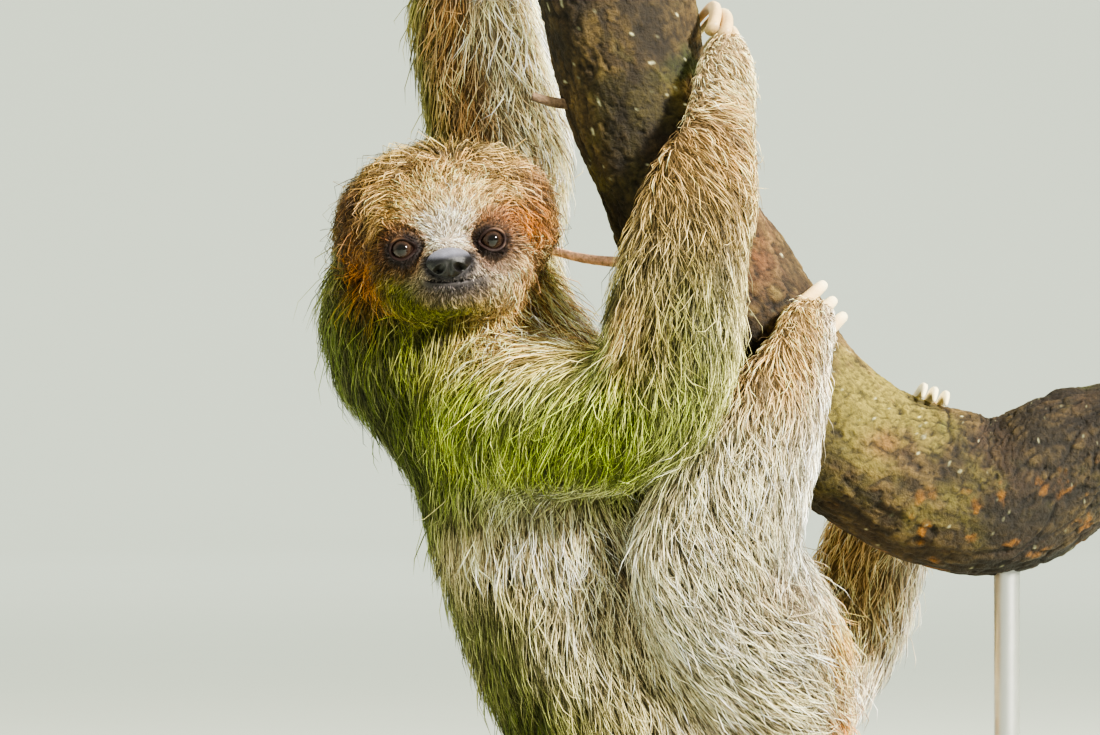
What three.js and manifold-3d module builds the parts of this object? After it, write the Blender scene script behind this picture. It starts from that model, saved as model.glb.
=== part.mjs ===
// A young brown-throated three-toed sloth that clings to a cut length of branch, on a display stand.
// Millimetres, +Z up, origin at the middle of the base's underside. The animal's chest faces +X, where
// the branch is; its right side and its turned face are towards -Y. Every solid of flesh reaches out
// to the tips of the coat.
import * as THREE from "three";
import { mergeVertices } from "three/addons/utils/BufferGeometryUtils.js";
import Module from "manifold-3d";

const wasm = await Module();
wasm.setup();

// ---- driving dimensions -------------------------------------------------------------------------

const GAP = 0.3; // clearance between pieces that touch
const CUT = 900; // side of the boxes that part a solid at a joint

const BASE = { length: 330, depth: 200, thick: 14, corner: 32, edge: 1.6 };
const ROD_RADIUS = 6;
const ROD_SIDES = 20;
const TWIG_SIDES = 6;
const PERCH_ROD = { x: 134, y: -5, top: 210 };
const BODY_ROD = { x: 0, y: 6, top: 90 };

// The head: half-sizes of the ball of fur, its middle, and how far it leans to the animal's right.
const HEAD = {
  middle: [-123, -28, 342],
  leanDeg: 6,
  halfWidth: 54,
  halfDepth: 43,
  halfHeight: 43,
};
const BALL_FACETS = [12, 8]; // round the eyes and the nose, and from pole to pole
const EYE = { radius: 5.4, out: 20.2, forward: 36.6, up: -7 };
const NOSE = { halfWidth: 10.2, halfDepth: 6.2, halfHeight: 7, forward: 50.5, up: -15.5 };

// Claws: half-width at the tip, how much flatter than wide they are, and how they taper.
const CLAW = { tip: 0.8, flat: 0.8, taper: 0.5, rings: 6, sides: 6 };

// Stations along the middle of each length: [x, y, z, half-width in the side view, half-depth].
const TRUNK = [
  [-131, -10, 324, 47, 38],
  [-126, 3, 301, 58, 46],
  [-109, 9, 278, 56.5, 51],
  [-87, 8, 246, 58, 55],
  [-68, 8, 205, 65, 60],
  [-50, 8, 163, 68, 64],
  [-31, 8, 124, 66, 61],
  [-20, 8, 102, 62, 56],
  [-13, 8, 88, 55, 49],
];
const NECK_END = { at: [-101, 9, 267], along: [0.42, -0.04, -0.9] };
const TAIL = [
  [-27, 12, 78, 18, 17],
  [-38, 14, 58, 17, 16],
  [-46, 16, 44, 13, 13],
  [-50, 17, 36, 8, 8],
];
const NEAR_ARM = [
  [-104, -22, 262, 36, 30],
  [-84, -42, 258, 38, 32],
  [-58, -62, 257, 37, 31],
  [-30, -77, 264, 34, 30],
  [-21, -79, 288, 34, 30],
  [-19, -76, 311, 33, 30],
  [-14, -71, 334, 31, 27],
  [-8, -64, 357, 28, 23],
  [-2, -55, 379, 21, 19],
  [2, -48, 397, 16.5, 16],
  [4, -41, 413, 14.5, 14.5],
  [5, -33, 426, 9, 12],
];
const NEAR_ELBOW = { at: [-34, -76, 262], along: [0.75, -0.2, 0.62] };
const NEAR_WRIST = { at: [0, -51, 388], along: [0.15, 0.3, 0.94] };
const FAR_ARM = [
  [-92, 26, 276, 36, 31],
  [-99, 52, 330, 31, 31],
  [-98, 70, 374, 35, 33],
  [-106, 78, 414, 34, 32],
  [-112, 78, 444, 33, 30],
  [-111, 73, 472, 27, 25],
  [-102, 63, 498, 20, 19],
  [-94, 53, 514, 16, 15],
  [-84, 44, 526, 13, 12],
  [-75, 39, 535, 9, 9],
];
const FAR_ELBOW = { at: [-99, 74, 394], along: [-0.25, 0.14, 0.96] };
const FAR_WRIST = { at: [-97, 57, 507], along: [0.45, -0.5, 0.74] };
const NEAR_LEG = [
  [26, -8, 124, 42, 34],
  [20, -26, 146, 44, 36],
  [6, -48, 172, 43, 34],
  [-2, -61, 194, 41, 32],
  [4, -66, 215, 37.5, 30],
  [13, -65, 236, 34, 28],
  [25, -60, 260, 27, 23],
  [37, -51, 286, 16.5, 16],
  [41, -45, 297, 14.5, 13.5],
  [45, -38, 304, 9, 10],
];
const NEAR_KNEE = { at: [0, -59, 190], along: [-0.35, -0.3, 0.9] };
const NEAR_ANKLE = { at: [34, -54, 277], along: [0.33, 0.3, 0.89] };
const FAR_LEG = [
  [22, 32, 126, 36, 30],
  [46, 50, 137, 31, 28],
  [63, 62, 155, 29, 26],
  [71, 65, 178, 29, 24],
  [79, 64, 204, 27, 21],
  [91, 57, 230, 18, 16],
  [98, 50, 248, 13.5, 13],
  [99, 41, 259, 9, 9],
];
const FAR_KNEE = { at: [63, 62, 158], along: [0.62, 0.3, 0.73] };
const FAR_ANKLE = { at: [90, 58, 226], along: [0.3, -0.35, 0.89] };

// Claws hook round the branch. at: where on the branch, as [x, z, how much further off the bark].
// from, to: degrees round it, with 0 at its outer side and 90 at the back. rise: how far the hook
// arches up the branch. lift: how far the root, the arch and the tip stand off the bark. root: the
// half-width there.
const CLAWS = {
  right_hand: {
    at: [[-40, 425, 0], [-39, 421, 6], [-37, 413, 8]],
    from: -36, to: 40, rise: 11, lift: [13, 3, 1], root: 3.5,
  },
  left_hand: {
    at: [[-65, 534, 0], [-63, 526, 0], [-61, 518, 0]],
    from: 106, to: 26, rise: 6, lift: [14, 3, 1], root: 3.5,
  },
  right_foot: {
    at: [[19, 295, 0], [25, 290, 0], [30, 282, 0]],
    from: -58, to: 30, rise: 2, lift: [7, 1.2, 0.4], root: 4.4,
  },
  left_foot: {
    at: [[78, 232, 0], [86, 230, 0], [94, 228, 0]],
    from: 74, to: -16, rise: 1, lift: [7, 4, 1], root: 3.5,
  },
};

// The branch: [x, y, z, half-width, half-depth] down its length.
const BRANCH = [
  [-69, -5, 559, 35, 34],
  [-59, -5, 506, 35.5, 34],
  [-45, -5, 444, 36, 34.5],
  [-34, -5, 400, 34.5, 34],
  [-21, -5, 364, 34, 34],
  [-8, -5, 337, 34, 34],
  [10, -5, 310, 33.5, 34],
  [38, -5, 267, 34, 34.5],
  [64, -5, 242, 35.5, 35],
  [99, -5, 226, 37, 36],
  [131, -5, 220, 35.5, 35],
  [160, -5, 235, 34, 33],
  [178, -5, 244, 29.5, 30],
  [196, -5, 249, 28, 29],
];
const KNOT = { middle: [163, -6, 260], halfSizes: [15, 17, 12] };
const STUB = { from: [-62, -8, 400], to: [-84, -11, 404], radius: 2.4 };
const TWIG = { from: [-40, 2, 328], to: [-76, 24, 334], radius: 2.3 };

// ---- solids --------------------------------------------------------------------------------------

const vec = (list) => new THREE.Vector3(list[0], list[1], list[2]);

function solidOf(geometry) {
  const bare = geometry.clone();
  bare.deleteAttribute("normal");
  bare.deleteAttribute("uv");
  const merged = mergeVertices(bare, 1e-4);
  return new wasm.Manifold(
    new wasm.Mesh({
      numProp: 3,
      vertProperties: new Float32Array(merged.attributes.position.array),
      triVerts: new Uint32Array(merged.index.array),
    }),
  );
}

// The biggest body of a solid, which drops the slivers that a cut may leave.
function mainBody(solid) {
  return solid.decompose().sort((a, b) => b.volume() - a.volume())[0];
}

function meshOf(name, solid, material) {
  const made = solid.getMesh();
  const geometry = new THREE.BufferGeometry();
  geometry.setAttribute("position", new THREE.BufferAttribute(made.vertProperties, made.numProp));
  geometry.setIndex(new THREE.BufferAttribute(made.triVerts, 1));
  geometry.computeVertexNormals();
  const mesh = new THREE.Mesh(geometry, material);
  mesh.name = name;
  return mesh;
}

// A closed skin over rings of points, each ring having the same number, with a point at either end.
function ringSolid(rings, first, last) {
  const sides = rings[0].length;
  const points = [first, ...rings.flat(), last];
  const faces = [];
  const at = (ring, side) => 1 + ring * sides + (side % sides);
  for (let side = 0; side < sides; side++) {
    faces.push(0, at(0, side + 1), at(0, side));
    faces.push(points.length - 1, at(rings.length - 1, side), at(rings.length - 1, side + 1));
    for (let ring = 0; ring + 1 < rings.length; ring++) {
      const [a, b] = [at(ring, side), at(ring, side + 1)];
      const [c, d] = [at(ring + 1, side), at(ring + 1, side + 1)];
      faces.push(a, b, d, a, d, c);
    }
  }
  const geometry = new THREE.BufferGeometry().setFromPoints(points);
  geometry.setIndex(faces);
  const solid = solidOf(geometry);
  if (solid.volume() > 0) return solid;
  const turned = [];
  for (let i = 0; i < faces.length; i += 3) turned.push(faces[i], faces[i + 2], faces[i + 1]);
  geometry.setIndex(turned);
  return solidOf(geometry);
}

// Catmull-Rom through plain numbers, for the sizes that go with a curve's points.
function blendNumbers(values, share) {
  const place = share * (values.length - 1);
  const i = Math.min(Math.floor(place), values.length - 2);
  const pick = (k) => values[Math.min(Math.max(k, 0), values.length - 1)];
  const [a, b, c, d] = [pick(i - 1), pick(i), pick(i + 1), pick(i + 2)];
  const t = place - i;
  const slopeIn = (c - a) / 2;
  const slopeOut = (d - b) / 2;
  const t2 = t * t;
  const t3 = t2 * t;
  const places = b * (2 * t3 - 3 * t2 + 1) + c * (3 * t2 - 2 * t3);
  return places + slopeIn * (t3 - 2 * t2 + t) + slopeOut * (t3 - t2);
}

// An oval tube through stations, with domed ends or flat ones. grow swells it all over.
function limb(stations, { rings, sides, dome = 0.75, grow = 0, ripple = () => 1 }) {
  const line = new THREE.CatmullRomCurve3(stations.map(vec), false, "centripetal");
  const wide = stations.map((s) => s[3]);
  const deep = stations.map((s) => s[4]);
  const depthAxis = new THREE.Vector3(0, 1, 0);
  const ring = (share, shrink, shift) => {
    const tangent = line.getTangent(share);
    const across = new THREE.Vector3().crossVectors(depthAxis, tangent).normalize();
    const inward = new THREE.Vector3().crossVectors(tangent, across).normalize();
    const middle = line.getPoint(share).addScaledVector(tangent, shift);
    return Array.from({ length: sides }, (_, k) => {
      const angle = (2 * Math.PI * k) / sides;
      const swell = ripple(share, angle);
      const a = (blendNumbers(wide, share) * swell + grow) * shrink * Math.cos(angle);
      const b = (blendNumbers(deep, share) * swell + grow) * shrink * Math.sin(angle);
      return middle.clone().addScaledVector(across, a).addScaledVector(inward, b);
    });
  };
  const domeRings = dome ? [0.35, 0.7] : [];
  const all = [];
  const reach = (share) => dome * (blendNumbers(wide, share) + grow);
  for (const tilt of [...domeRings].reverse()) {
    const angle = (tilt * Math.PI) / 2;
    all.push(ring(0, Math.cos(angle), -Math.sin(angle) * reach(0)));
  }
  for (let i = 0; i <= rings; i++) all.push(ring(i / rings, 1, 0));
  for (const tilt of domeRings) {
    const angle = (tilt * Math.PI) / 2;
    all.push(ring(1, Math.cos(angle), Math.sin(angle) * reach(1)));
  }
  const end = (share, way) =>
    line.getPoint(share).addScaledVector(line.getTangent(share), way * reach(share));
  return ringSolid(all, end(0, -1), end(1, 1));
}

// The half of a solid on one side of a joint, less half of the gap between the two.
function half(solid, joint, side) {
  const normal = vec(joint.along).normalize().multiplyScalar(side);
  const box = new THREE.BoxGeometry(CUT, CUT, CUT);
  box.translate(0, 0, CUT / 2 + GAP / 2);
  const turn = new THREE.Quaternion().setFromUnitVectors(new THREE.Vector3(0, 0, 1), normal);
  box.applyQuaternion(turn);
  box.translate(...joint.at);
  return solid.intersect(solidOf(box));
}

function ball(halfSizes, middle, columns, rows, grow = 0) {
  const geometry = new THREE.SphereGeometry(1, columns, rows);
  geometry.scale(...halfSizes.map((size) => size + grow));
  geometry.translate(...middle);
  return solidOf(geometry);
}

// The middle of a claw: an arc round the branch's own line, nearest to the point [x, z].
function clawLine([x, z, extra], { from, to, rise, lift }) {
  const [searchSteps, arcSteps] = [400, 6];
  const line = new THREE.CatmullRomCurve3(BRANCH.map(vec), false, "centripetal");
  const target = new THREE.Vector3(x, BRANCH[0][1], z);
  const shares = Array.from({ length: searchSteps + 1 }, (_, i) => i / searchSteps);
  const miss = (share) => line.getPoint(share).distanceTo(target);
  const share = shares.reduce((best, next) => (miss(next) < miss(best) ? next : best));
  const middle = line.getPoint(share);
  const down = line.getTangent(share);
  const outward = new THREE.Vector3().crossVectors(down, new THREE.Vector3(0, 1, 0));
  const radius = blendNumbers(BRANCH.map((station) => station[3]), share);
  const points = Array.from({ length: arcSteps + 1 }, (_, i) => {
    const t = i / arcSteps;
    const angle = THREE.MathUtils.degToRad(from + (to - from) * t);
    const arch = Math.sin(Math.PI * t);
    const off = lift[0] * (1 - t) ** 2 + lift[1] * arch + lift[2] * t + extra * (1 - t);
    return middle
      .clone()
      .addScaledVector(outward, (radius + off) * Math.cos(angle))
      .add(new THREE.Vector3(0, (radius + off) * Math.sin(angle), 0))
      .addScaledVector(down, -rise * arch);
  });
  return new THREE.CatmullRomCurve3(points);
}

function claw(line, root) {
  const { tip, flat, taper, rings, sides } = CLAW;
  const hook = line.getPoint(1).sub(line.getPoint(0));
  const sideways = new THREE.Vector3().crossVectors(line.getTangent(0), hook).normalize();
  const all = [];
  for (let i = 0; i <= rings; i++) {
    const share = i / rings;
    const tangent = line.getTangent(share);
    const up = new THREE.Vector3().crossVectors(tangent, sideways).normalize();
    const size = tip + (root - tip) * Math.pow(1 - share, taper);
    all.push(
      Array.from({ length: sides }, (_, k) => {
        const angle = (2 * Math.PI * k) / sides;
        return line
          .getPoint(share)
          .addScaledVector(sideways, size * flat * Math.cos(angle))
          .addScaledVector(up, size * Math.sin(angle));
      }),
    );
  }
  return ringSolid(all, line.getPoint(0), line.getPoint(1));
}

// ---- the head ------------------------------------------------------------------------------------

// Distance from an oval, close enough to find its surface, with each coordinate in the head's frame.
function oval(p, middle, halfSizes) {
  const q = p.clone().sub(vec(middle)).divide(vec(halfSizes));
  const length = q.length();
  return ((length - 1) * length) / q.divide(vec(halfSizes)).length();
}

function softly(a, b, width) {
  const h = Math.max(width - Math.abs(a - b), 0) / width;
  return Math.min(a, b) - (h * h * width) / 4;
}

// The head's frame: +X to the animal's left, which is the viewer's right, +Y forward and +Z up.
function headDistance(p) {
  const mirrored = new THREE.Vector3(Math.abs(p.x), p.y, p.z);
  let d = oval(p, [0, -4, 3], [HEAD.halfWidth, HEAD.halfDepth, HEAD.halfHeight - 2]);
  d = softly(d, oval(mirrored, [15, 16, -17], [26, 23, 25]), 8);
  d = softly(d, oval(p, [0, 25, 6], [31, 15, 14]), 8);
  d = softly(d, oval(p, [0, 33, -18], [18, 18, 14]), 7);
  d = softly(d, oval(p, [0, 41, -11], [8, 11, 8]), 6);
  d = softly(d, oval(p, [0, 27, -30], [17, 16, 10]), 5);
  const socket = oval(mirrored, [EYE.out, EYE.forward + 3, EYE.up], [7.5, 7.5, 7]);
  return -softly(-d, socket, 3);
}

function headFrame(solid) {
  const lean = (HEAD.leanDeg * Math.PI) / 180;
  const matrix = new THREE.Matrix4()
    .makeTranslation(...HEAD.middle)
    .multiply(new THREE.Matrix4().makeRotationY(-lean))
    .multiply(new THREE.Matrix4().makeScale(1, -1, 1));
  const geometry = new THREE.BufferGeometry();
  const made = solid.getMesh();
  geometry.setAttribute("position", new THREE.BufferAttribute(made.vertProperties, 3));
  geometry.applyMatrix4(matrix);
  const faces = made.triVerts;
  for (let i = 0; i < faces.length; i += 3) [faces[i + 1], faces[i + 2]] = [faces[i + 2], faces[i + 1]];
  geometry.setIndex(new THREE.BufferAttribute(faces, 1));
  return solidOf(geometry);
}

// Rings round the forward axis, closer together on the face, each point drawn in to the surface from
// well outside it, in steps that fall short of the distance so as not to pass it.
function headSolid(grow = 0) {
  const [columns, rows, crowding] = [30, 20, 1.4];
  const [far, steps, stride, near] = [90, 60, 0.7, 0.01];
  const surface = (turn, tilt) => {
    const way = new THREE.Vector3(
      Math.sin(tilt) * Math.cos(turn),
      Math.cos(tilt),
      Math.sin(tilt) * Math.sin(turn),
    );
    let reach = far;
    for (let step = 0; step < steps; step++) {
      const d = headDistance(way.clone().multiplyScalar(reach));
      if (d < near) break;
      reach -= stride * d;
    }
    return way.multiplyScalar(reach + grow);
  };
  const rings = [];
  for (let row = 1; row < rows; row++) {
    const tilt = Math.PI * Math.pow(row / rows, crowding);
    rings.push(Array.from({ length: columns }, (_, k) => surface((2 * Math.PI * k) / columns, tilt)));
  }
  return ringSolid(rings, surface(0, 0), surface(0, Math.PI));
}

function eyeSolid(side, grow = 0) {
  const size = EYE.radius + grow;
  return ball([size, size, size], [side * EYE.out, EYE.forward, EYE.up], ...BALL_FACETS);
}

function noseSolid(grow = 0) {
  const middle = [0, NOSE.forward, NOSE.up];
  return ball([NOSE.halfWidth, NOSE.halfDepth, NOSE.halfHeight], middle, ...BALL_FACETS, grow);
}

// ---- the branch and the stand ---------------------------------------------------------------------

function rodBetween(from, to, radius, sides) {
  const line = new THREE.LineCurve3(vec(from), vec(to));
  const length = line.getLength();
  const geometry = new THREE.CylinderGeometry(radius, radius, length, sides);
  const turn = new THREE.Quaternion().setFromUnitVectors(
    new THREE.Vector3(0, 1, 0),
    vec(to).sub(vec(from)).normalize(),
  );
  geometry.applyQuaternion(turn);
  const middle = line.getPoint(0.5);
  geometry.translate(middle.x, middle.y, middle.z);
  return solidOf(geometry);
}

function branchSolid(grow = 0) {
  const knobbly = (share, angle) =>
    1 + 0.025 * Math.sin(19 * share + 2 * angle) + 0.018 * Math.sin(43 * share - 3 * angle + 1);
  const trunk = limb(BRANCH, { rings: 28, sides: 12, dome: 0, grow, ripple: knobbly });
  return trunk
    .add(ball(KNOT.halfSizes, KNOT.middle, 10, 6, grow))
    .add(rodBetween(STUB.from, STUB.to, STUB.radius + grow, TWIG_SIDES))
    .add(rodBetween(TWIG.from, TWIG.to, TWIG.radius + grow, TWIG_SIDES));
}

function baseSolid() {
  const { length, depth, thick, corner, edge } = BASE;
  const [x, y] = [length / 2 - edge, depth / 2 - edge];
  const outline = new THREE.Shape();
  outline.moveTo(-x + corner, -y);
  outline.lineTo(x - corner, -y);
  outline.absarc(x - corner, -y + corner, corner, -Math.PI / 2, 0);
  outline.lineTo(x, y - corner);
  outline.absarc(x - corner, y - corner, corner, 0, Math.PI / 2);
  outline.lineTo(-x + corner, y);
  outline.absarc(-x + corner, y - corner, corner, Math.PI / 2, Math.PI);
  outline.lineTo(-x, -y + corner);
  outline.absarc(-x + corner, -y + corner, corner, Math.PI, 1.5 * Math.PI);
  const plate = new THREE.ExtrudeGeometry(outline, {
    depth: thick - 2 * edge,
    bevelSize: edge,
    bevelThickness: edge,
    bevelSegments: 1,
    curveSegments: 4,
  });
  plate.translate(0, 0, edge);
  return solidOf(plate);
}

// ---- assembly ------------------------------------------------------------------------------------

const finish = (color, roughness) => new THREE.MeshStandardMaterial({ color, roughness, metalness: 0 });
const materials = {
  coat: finish(0xa59a7c, 0.9),
  greenCoat: finish(0x8a8f45, 0.9),
  head: finish(0x9c7a52, 0.9),
  paleCoat: finish(0xd9c3a0, 0.9),
  claw: finish(0xe8dcc4, 0.45),
  eye: finish(0x1d120c, 0.05),
  nose: finish(0x2e2a2c, 0.45),
  bark: finish(0x574a33, 0.95),
  base: finish(0x2a1d15, 0.5),
  rod: new THREE.MeshStandardMaterial({ color: 0xb8babd, roughness: 0.3, metalness: 1 }),
};

const part = new THREE.Group();
const put = (name, solid, material) => part.add(meshOf(name, mainBody(solid), material));

const SIZES = {
  trunk: { rings: 14, sides: 20 },
  arm: { rings: 16, sides: 12 },
  leg: { rings: 14, sides: 12 },
  tail: { rings: 4, sides: 9 },
};
const branchSwollen = branchSolid(GAP);

// Each length is made whole, cut back from what it lies against, and then parted at its joints.
const headGrown = headFrame(headSolid(GAP));
const trunkGrown = limb(TRUNK, { ...SIZES.trunk, grow: GAP });
const torso = limb(TRUNK, SIZES.trunk).subtract(headGrown).subtract(branchSwollen);
const nearArm = limb(NEAR_ARM, SIZES.arm).subtract(trunkGrown).subtract(headGrown).subtract(branchSwollen);
const nearArmGrown = limb(NEAR_ARM, { ...SIZES.arm, grow: GAP });
const farArm = limb(FAR_ARM, SIZES.arm).subtract(trunkGrown).subtract(headGrown).subtract(branchSwollen);
const nearLeg = limb(NEAR_LEG, SIZES.leg).subtract(trunkGrown).subtract(nearArmGrown).subtract(branchSwollen);
const nearLegGrown = limb(NEAR_LEG, { ...SIZES.leg, grow: GAP });
const farLeg = limb(FAR_LEG, SIZES.leg).subtract(trunkGrown).subtract(nearLegGrown).subtract(branchSwollen);

const eyes = { eye_right: -1, eye_left: 1 };
let head = headSolid().subtract(noseSolid(GAP));
for (const side of Object.values(eyes)) head = head.subtract(eyeSolid(side, GAP));
put("head", headFrame(head), materials.head);
put("nose", headFrame(noseSolid()), materials.nose);
for (const [name, side] of Object.entries(eyes)) put(name, headFrame(eyeSolid(side)), materials.eye);

put("neck", half(torso, NECK_END, -1), materials.head);
put("trunk", half(torso, NECK_END, 1), materials.coat);
put("tail", limb(TAIL, SIZES.tail).subtract(trunkGrown), materials.coat);

function putLimb(solid, joints, names, colours) {
  put(names[0], half(solid, joints[0], -1), colours[0]);
  put(names[1], half(half(solid, joints[0], 1), joints[1], -1), colours[1]);
  put(names[2], half(solid, joints[1], 1), colours[2]);
}

// The claws are cut back from the foot they grow from and from the bark.
function putClaws(name, grownLimb) {
  const set = CLAWS[name];
  set.at.forEach((place, i) => {
    const whole = claw(clawLine(place, set), set.root);
    put(`${name}_claw_${i + 1}`, whole.subtract(branchSwollen).subtract(grownLimb), materials.claw);
  });
}

const { coat, greenCoat, paleCoat } = materials;
putLimb(
  nearArm,
  [NEAR_ELBOW, NEAR_WRIST],
  ["right_upper_arm", "right_forearm", "right_hand"],
  [greenCoat, greenCoat, paleCoat],
);
putLimb(
  farArm,
  [FAR_ELBOW, FAR_WRIST],
  ["left_upper_arm", "left_forearm", "left_hand"],
  [coat, coat, paleCoat],
);
putLimb(
  nearLeg,
  [NEAR_KNEE, NEAR_ANKLE],
  ["right_thigh", "right_shank", "right_foot"],
  [coat, coat, paleCoat],
);
putLimb(
  farLeg,
  [FAR_KNEE, FAR_ANKLE],
  ["left_thigh", "left_shank", "left_foot"],
  [coat, coat, paleCoat],
);

putClaws("right_hand", nearArmGrown);
putClaws("left_hand", limb(FAR_ARM, { ...SIZES.arm, grow: GAP }));
putClaws("right_foot", nearLegGrown);
putClaws("left_foot", limb(FAR_LEG, { ...SIZES.leg, grow: GAP }));

put("perch_branch", branchSolid(), materials.bark);

put("stand_base", baseSolid(), materials.base);
const standRod = ({ x, y, top }) => rodBetween([x, y, BASE.thick + GAP], [x, y, top], ROD_RADIUS, ROD_SIDES);
put("stand_rod_perch", standRod(PERCH_ROD).subtract(branchSwollen), materials.rod);
put("stand_rod_body", standRod(BODY_ROD).subtract(trunkGrown).subtract(nearLegGrown), materials.rod);

export default part;
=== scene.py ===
"""Looks of the sloth model: one skin with a coat of mesh hair, face, claws, bark and stand.

Shapes are worked out in millimetres in the row's frame (+X towards the branch, -Y towards the camera,
+Z up) and turned into metres when a mesh is made.
"""
import math

import bmesh
import bpy
import numpy as np
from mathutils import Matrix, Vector, kdtree
from mathutils.bvhtree import BVHTree


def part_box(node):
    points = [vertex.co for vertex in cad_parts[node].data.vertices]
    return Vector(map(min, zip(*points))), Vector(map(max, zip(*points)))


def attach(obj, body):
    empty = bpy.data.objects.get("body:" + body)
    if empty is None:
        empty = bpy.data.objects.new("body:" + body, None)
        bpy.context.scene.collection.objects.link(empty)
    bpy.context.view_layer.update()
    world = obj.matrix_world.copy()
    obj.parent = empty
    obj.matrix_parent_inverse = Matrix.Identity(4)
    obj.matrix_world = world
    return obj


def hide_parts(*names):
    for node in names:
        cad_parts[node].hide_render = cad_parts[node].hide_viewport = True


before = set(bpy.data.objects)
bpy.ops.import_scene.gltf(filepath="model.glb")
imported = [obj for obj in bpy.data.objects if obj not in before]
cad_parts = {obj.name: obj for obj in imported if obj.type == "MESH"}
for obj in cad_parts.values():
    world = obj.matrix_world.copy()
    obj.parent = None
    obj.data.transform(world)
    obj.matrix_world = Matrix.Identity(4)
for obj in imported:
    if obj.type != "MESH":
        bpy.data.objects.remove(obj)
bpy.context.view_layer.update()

MM = 0.001
RANDOM = np.random.default_rng(20)

# ---- the flesh: stations down the middle of each length, [x, y, z, half-width, half-depth] ----------

CHAINS = {
    "trunk": {
        "stations": [
            (-131, -10, 324, 47, 38), (-126, 3, 301, 58, 46), (-109, 9, 278, 56.5, 51),
            (-87, 8, 246, 58, 55), (-68, 8, 205, 65, 60), (-50, 8, 163, 68, 64),
            (-31, 8, 124, 66, 61), (-20, 8, 102, 62, 56), (-13, 8, 88, 55, 49),
        ],
        "coat": [(0, 11), (0.2, 10), (1, 9)],
        "hair": [(0, 36), (0.25, 30), (1, 30)],
        "sag": [(0, 1.4), (1, 0.5)],
        "sweep": [(0.5, 0), (0.7, 0.35), (1, 0.4)],
        "way": 1,
    },
    "tail": {
        "stations": [
            (-27, 12, 78, 18, 17), (-38, 14, 58, 17, 16), (-46, 16, 44, 13, 13), (-50, 17, 36, 8, 8),
        ],
        "coat": [(0, 7), (1, 4)],
        "hair": [(0, 20), (1, 14)],
        "sag": [(0, 0.4), (1, 0.4)],
        "way": 1,
    },
    "right_arm": {
        "stations": [
            (-104, -22, 262, 36, 30), (-84, -42, 258, 38, 32), (-58, -62, 257, 37, 31),
            (-30, -77, 264, 34, 30), (-21, -79, 288, 34, 30), (-19, -76, 311, 33, 30),
            (-14, -71, 334, 31, 27), (-8, -64, 357, 28, 23), (-2, -55, 379, 21, 19),
            (2, -48, 397, 16.5, 16), (4, -41, 413, 14.5, 14.5), (5, -33, 426, 9, 12),
        ],
        "coat": [(0, 9), (0.55, 8), (0.75, 4.5), (0.9, 3), (1, 2.5)],
        "hair": [(0, 31), (0.5, 28), (0.7, 20), (0.85, 12), (1, 7)],
        "sag": [(0, 2.5), (0.3, 2.0), (0.5, 0.6), (1, 0.2)],
        "sweep": [(0.48, 0), (0.56, 0.4), (0.65, 1.4), (0.74, 2.4), (0.84, 2.2), (0.93, 0.8), (1, 0)],
        "way": -1,
    },
    "left_arm": {
        "stations": [
            (-92, 26, 276, 36, 31), (-99, 52, 330, 31, 31), (-98, 70, 374, 35, 33),
            (-106, 78, 414, 34, 32), (-112, 78, 444, 33, 30), (-111, 73, 472, 27, 25),
            (-102, 63, 498, 20, 19), (-94, 53, 514, 16, 15), (-84, 44, 526, 13, 12),
            (-75, 39, 535, 9, 9),
        ],
        "coat": [(0, 9), (0.5, 8), (0.75, 4.5), (0.9, 3), (1, 2.5)],
        "hair": [(0, 30), (0.5, 27), (0.7, 20), (0.85, 12), (1, 7)],
        "sag": [(0, 0.6), (0.5, 0.5), (1, 0.2)],
        "way": -1,
    },
    "right_leg": {
        "stations": [
            (26, -8, 124, 42, 34), (20, -26, 146, 44, 36), (6, -48, 172, 43, 34),
            (-2, -61, 194, 41, 32), (4, -66, 215, 37.5, 30), (13, -65, 236, 34, 28),
            (25, -60, 260, 27, 23), (37, -51, 286, 16.5, 16), (41, -45, 297, 14.5, 13.5),
            (45, -38, 304, 9, 10),
        ],
        "coat": [(0, 9), (0.6, 7.5), (0.75, 4.5), (0.9, 3), (1, 2.5)],
        "hair": [(0, 30), (0.5, 27), (0.7, 19), (0.85, 11), (1, 7)],
        "sag": [(0, 0.5), (0.5, 0.5), (1, 0.2)],
        "sweep": [(0, 1.2), (0.3, 1.3), (0.5, 0.6), (0.62, 0.3), (0.8, 1.0), (0.95, 0)],
        "way": -1,
    },
    "left_leg": {
        "stations": [
            (22, 32, 126, 36, 30), (46, 50, 137, 31, 28), (63, 62, 155, 29, 26),
            (71, 65, 178, 29, 24), (79, 64, 204, 27, 21), (91, 57, 230, 18, 16),
            (98, 50, 248, 13.5, 13), (99, 41, 259, 9, 9),
        ],
        "coat": [(0, 8), (0.5, 6.5), (0.75, 4), (0.9, 3), (1, 2.5)],
        "hair": [(0, 30), (0.5, 24), (0.7, 17), (0.85, 10), (1, 7)],
        "sag": [(0, 1.4), (0.35, 1.2), (0.6, 0.3), (1, 0.2)],
        "way": -1,
    },
}
SIDE_STEPS = 4  # spans between two stations when a length is worked out as straight pieces
END_DOME = 0.75  # how much flatter than a ball a length's ends are

BRANCH = np.array([
    (-69, -5, 559, 35, 34), (-59, -5, 506, 35.5, 34), (-45, -5, 444, 36, 34.5), (-34, -5, 400, 34.5, 34),
    (-21, -5, 364, 34, 34), (-8, -5, 337, 34, 34), (10, -5, 310, 33.5, 34), (38, -5, 267, 34, 34.5),
    (64, -5, 242, 35.5, 35), (99, -5, 226, 37, 36), (131, -5, 220, 35.5, 35), (160, -5, 235, 34, 33),
    (178, -5, 244, 29.5, 30), (196, -5, 249, 28, 29),
], float)

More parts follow.
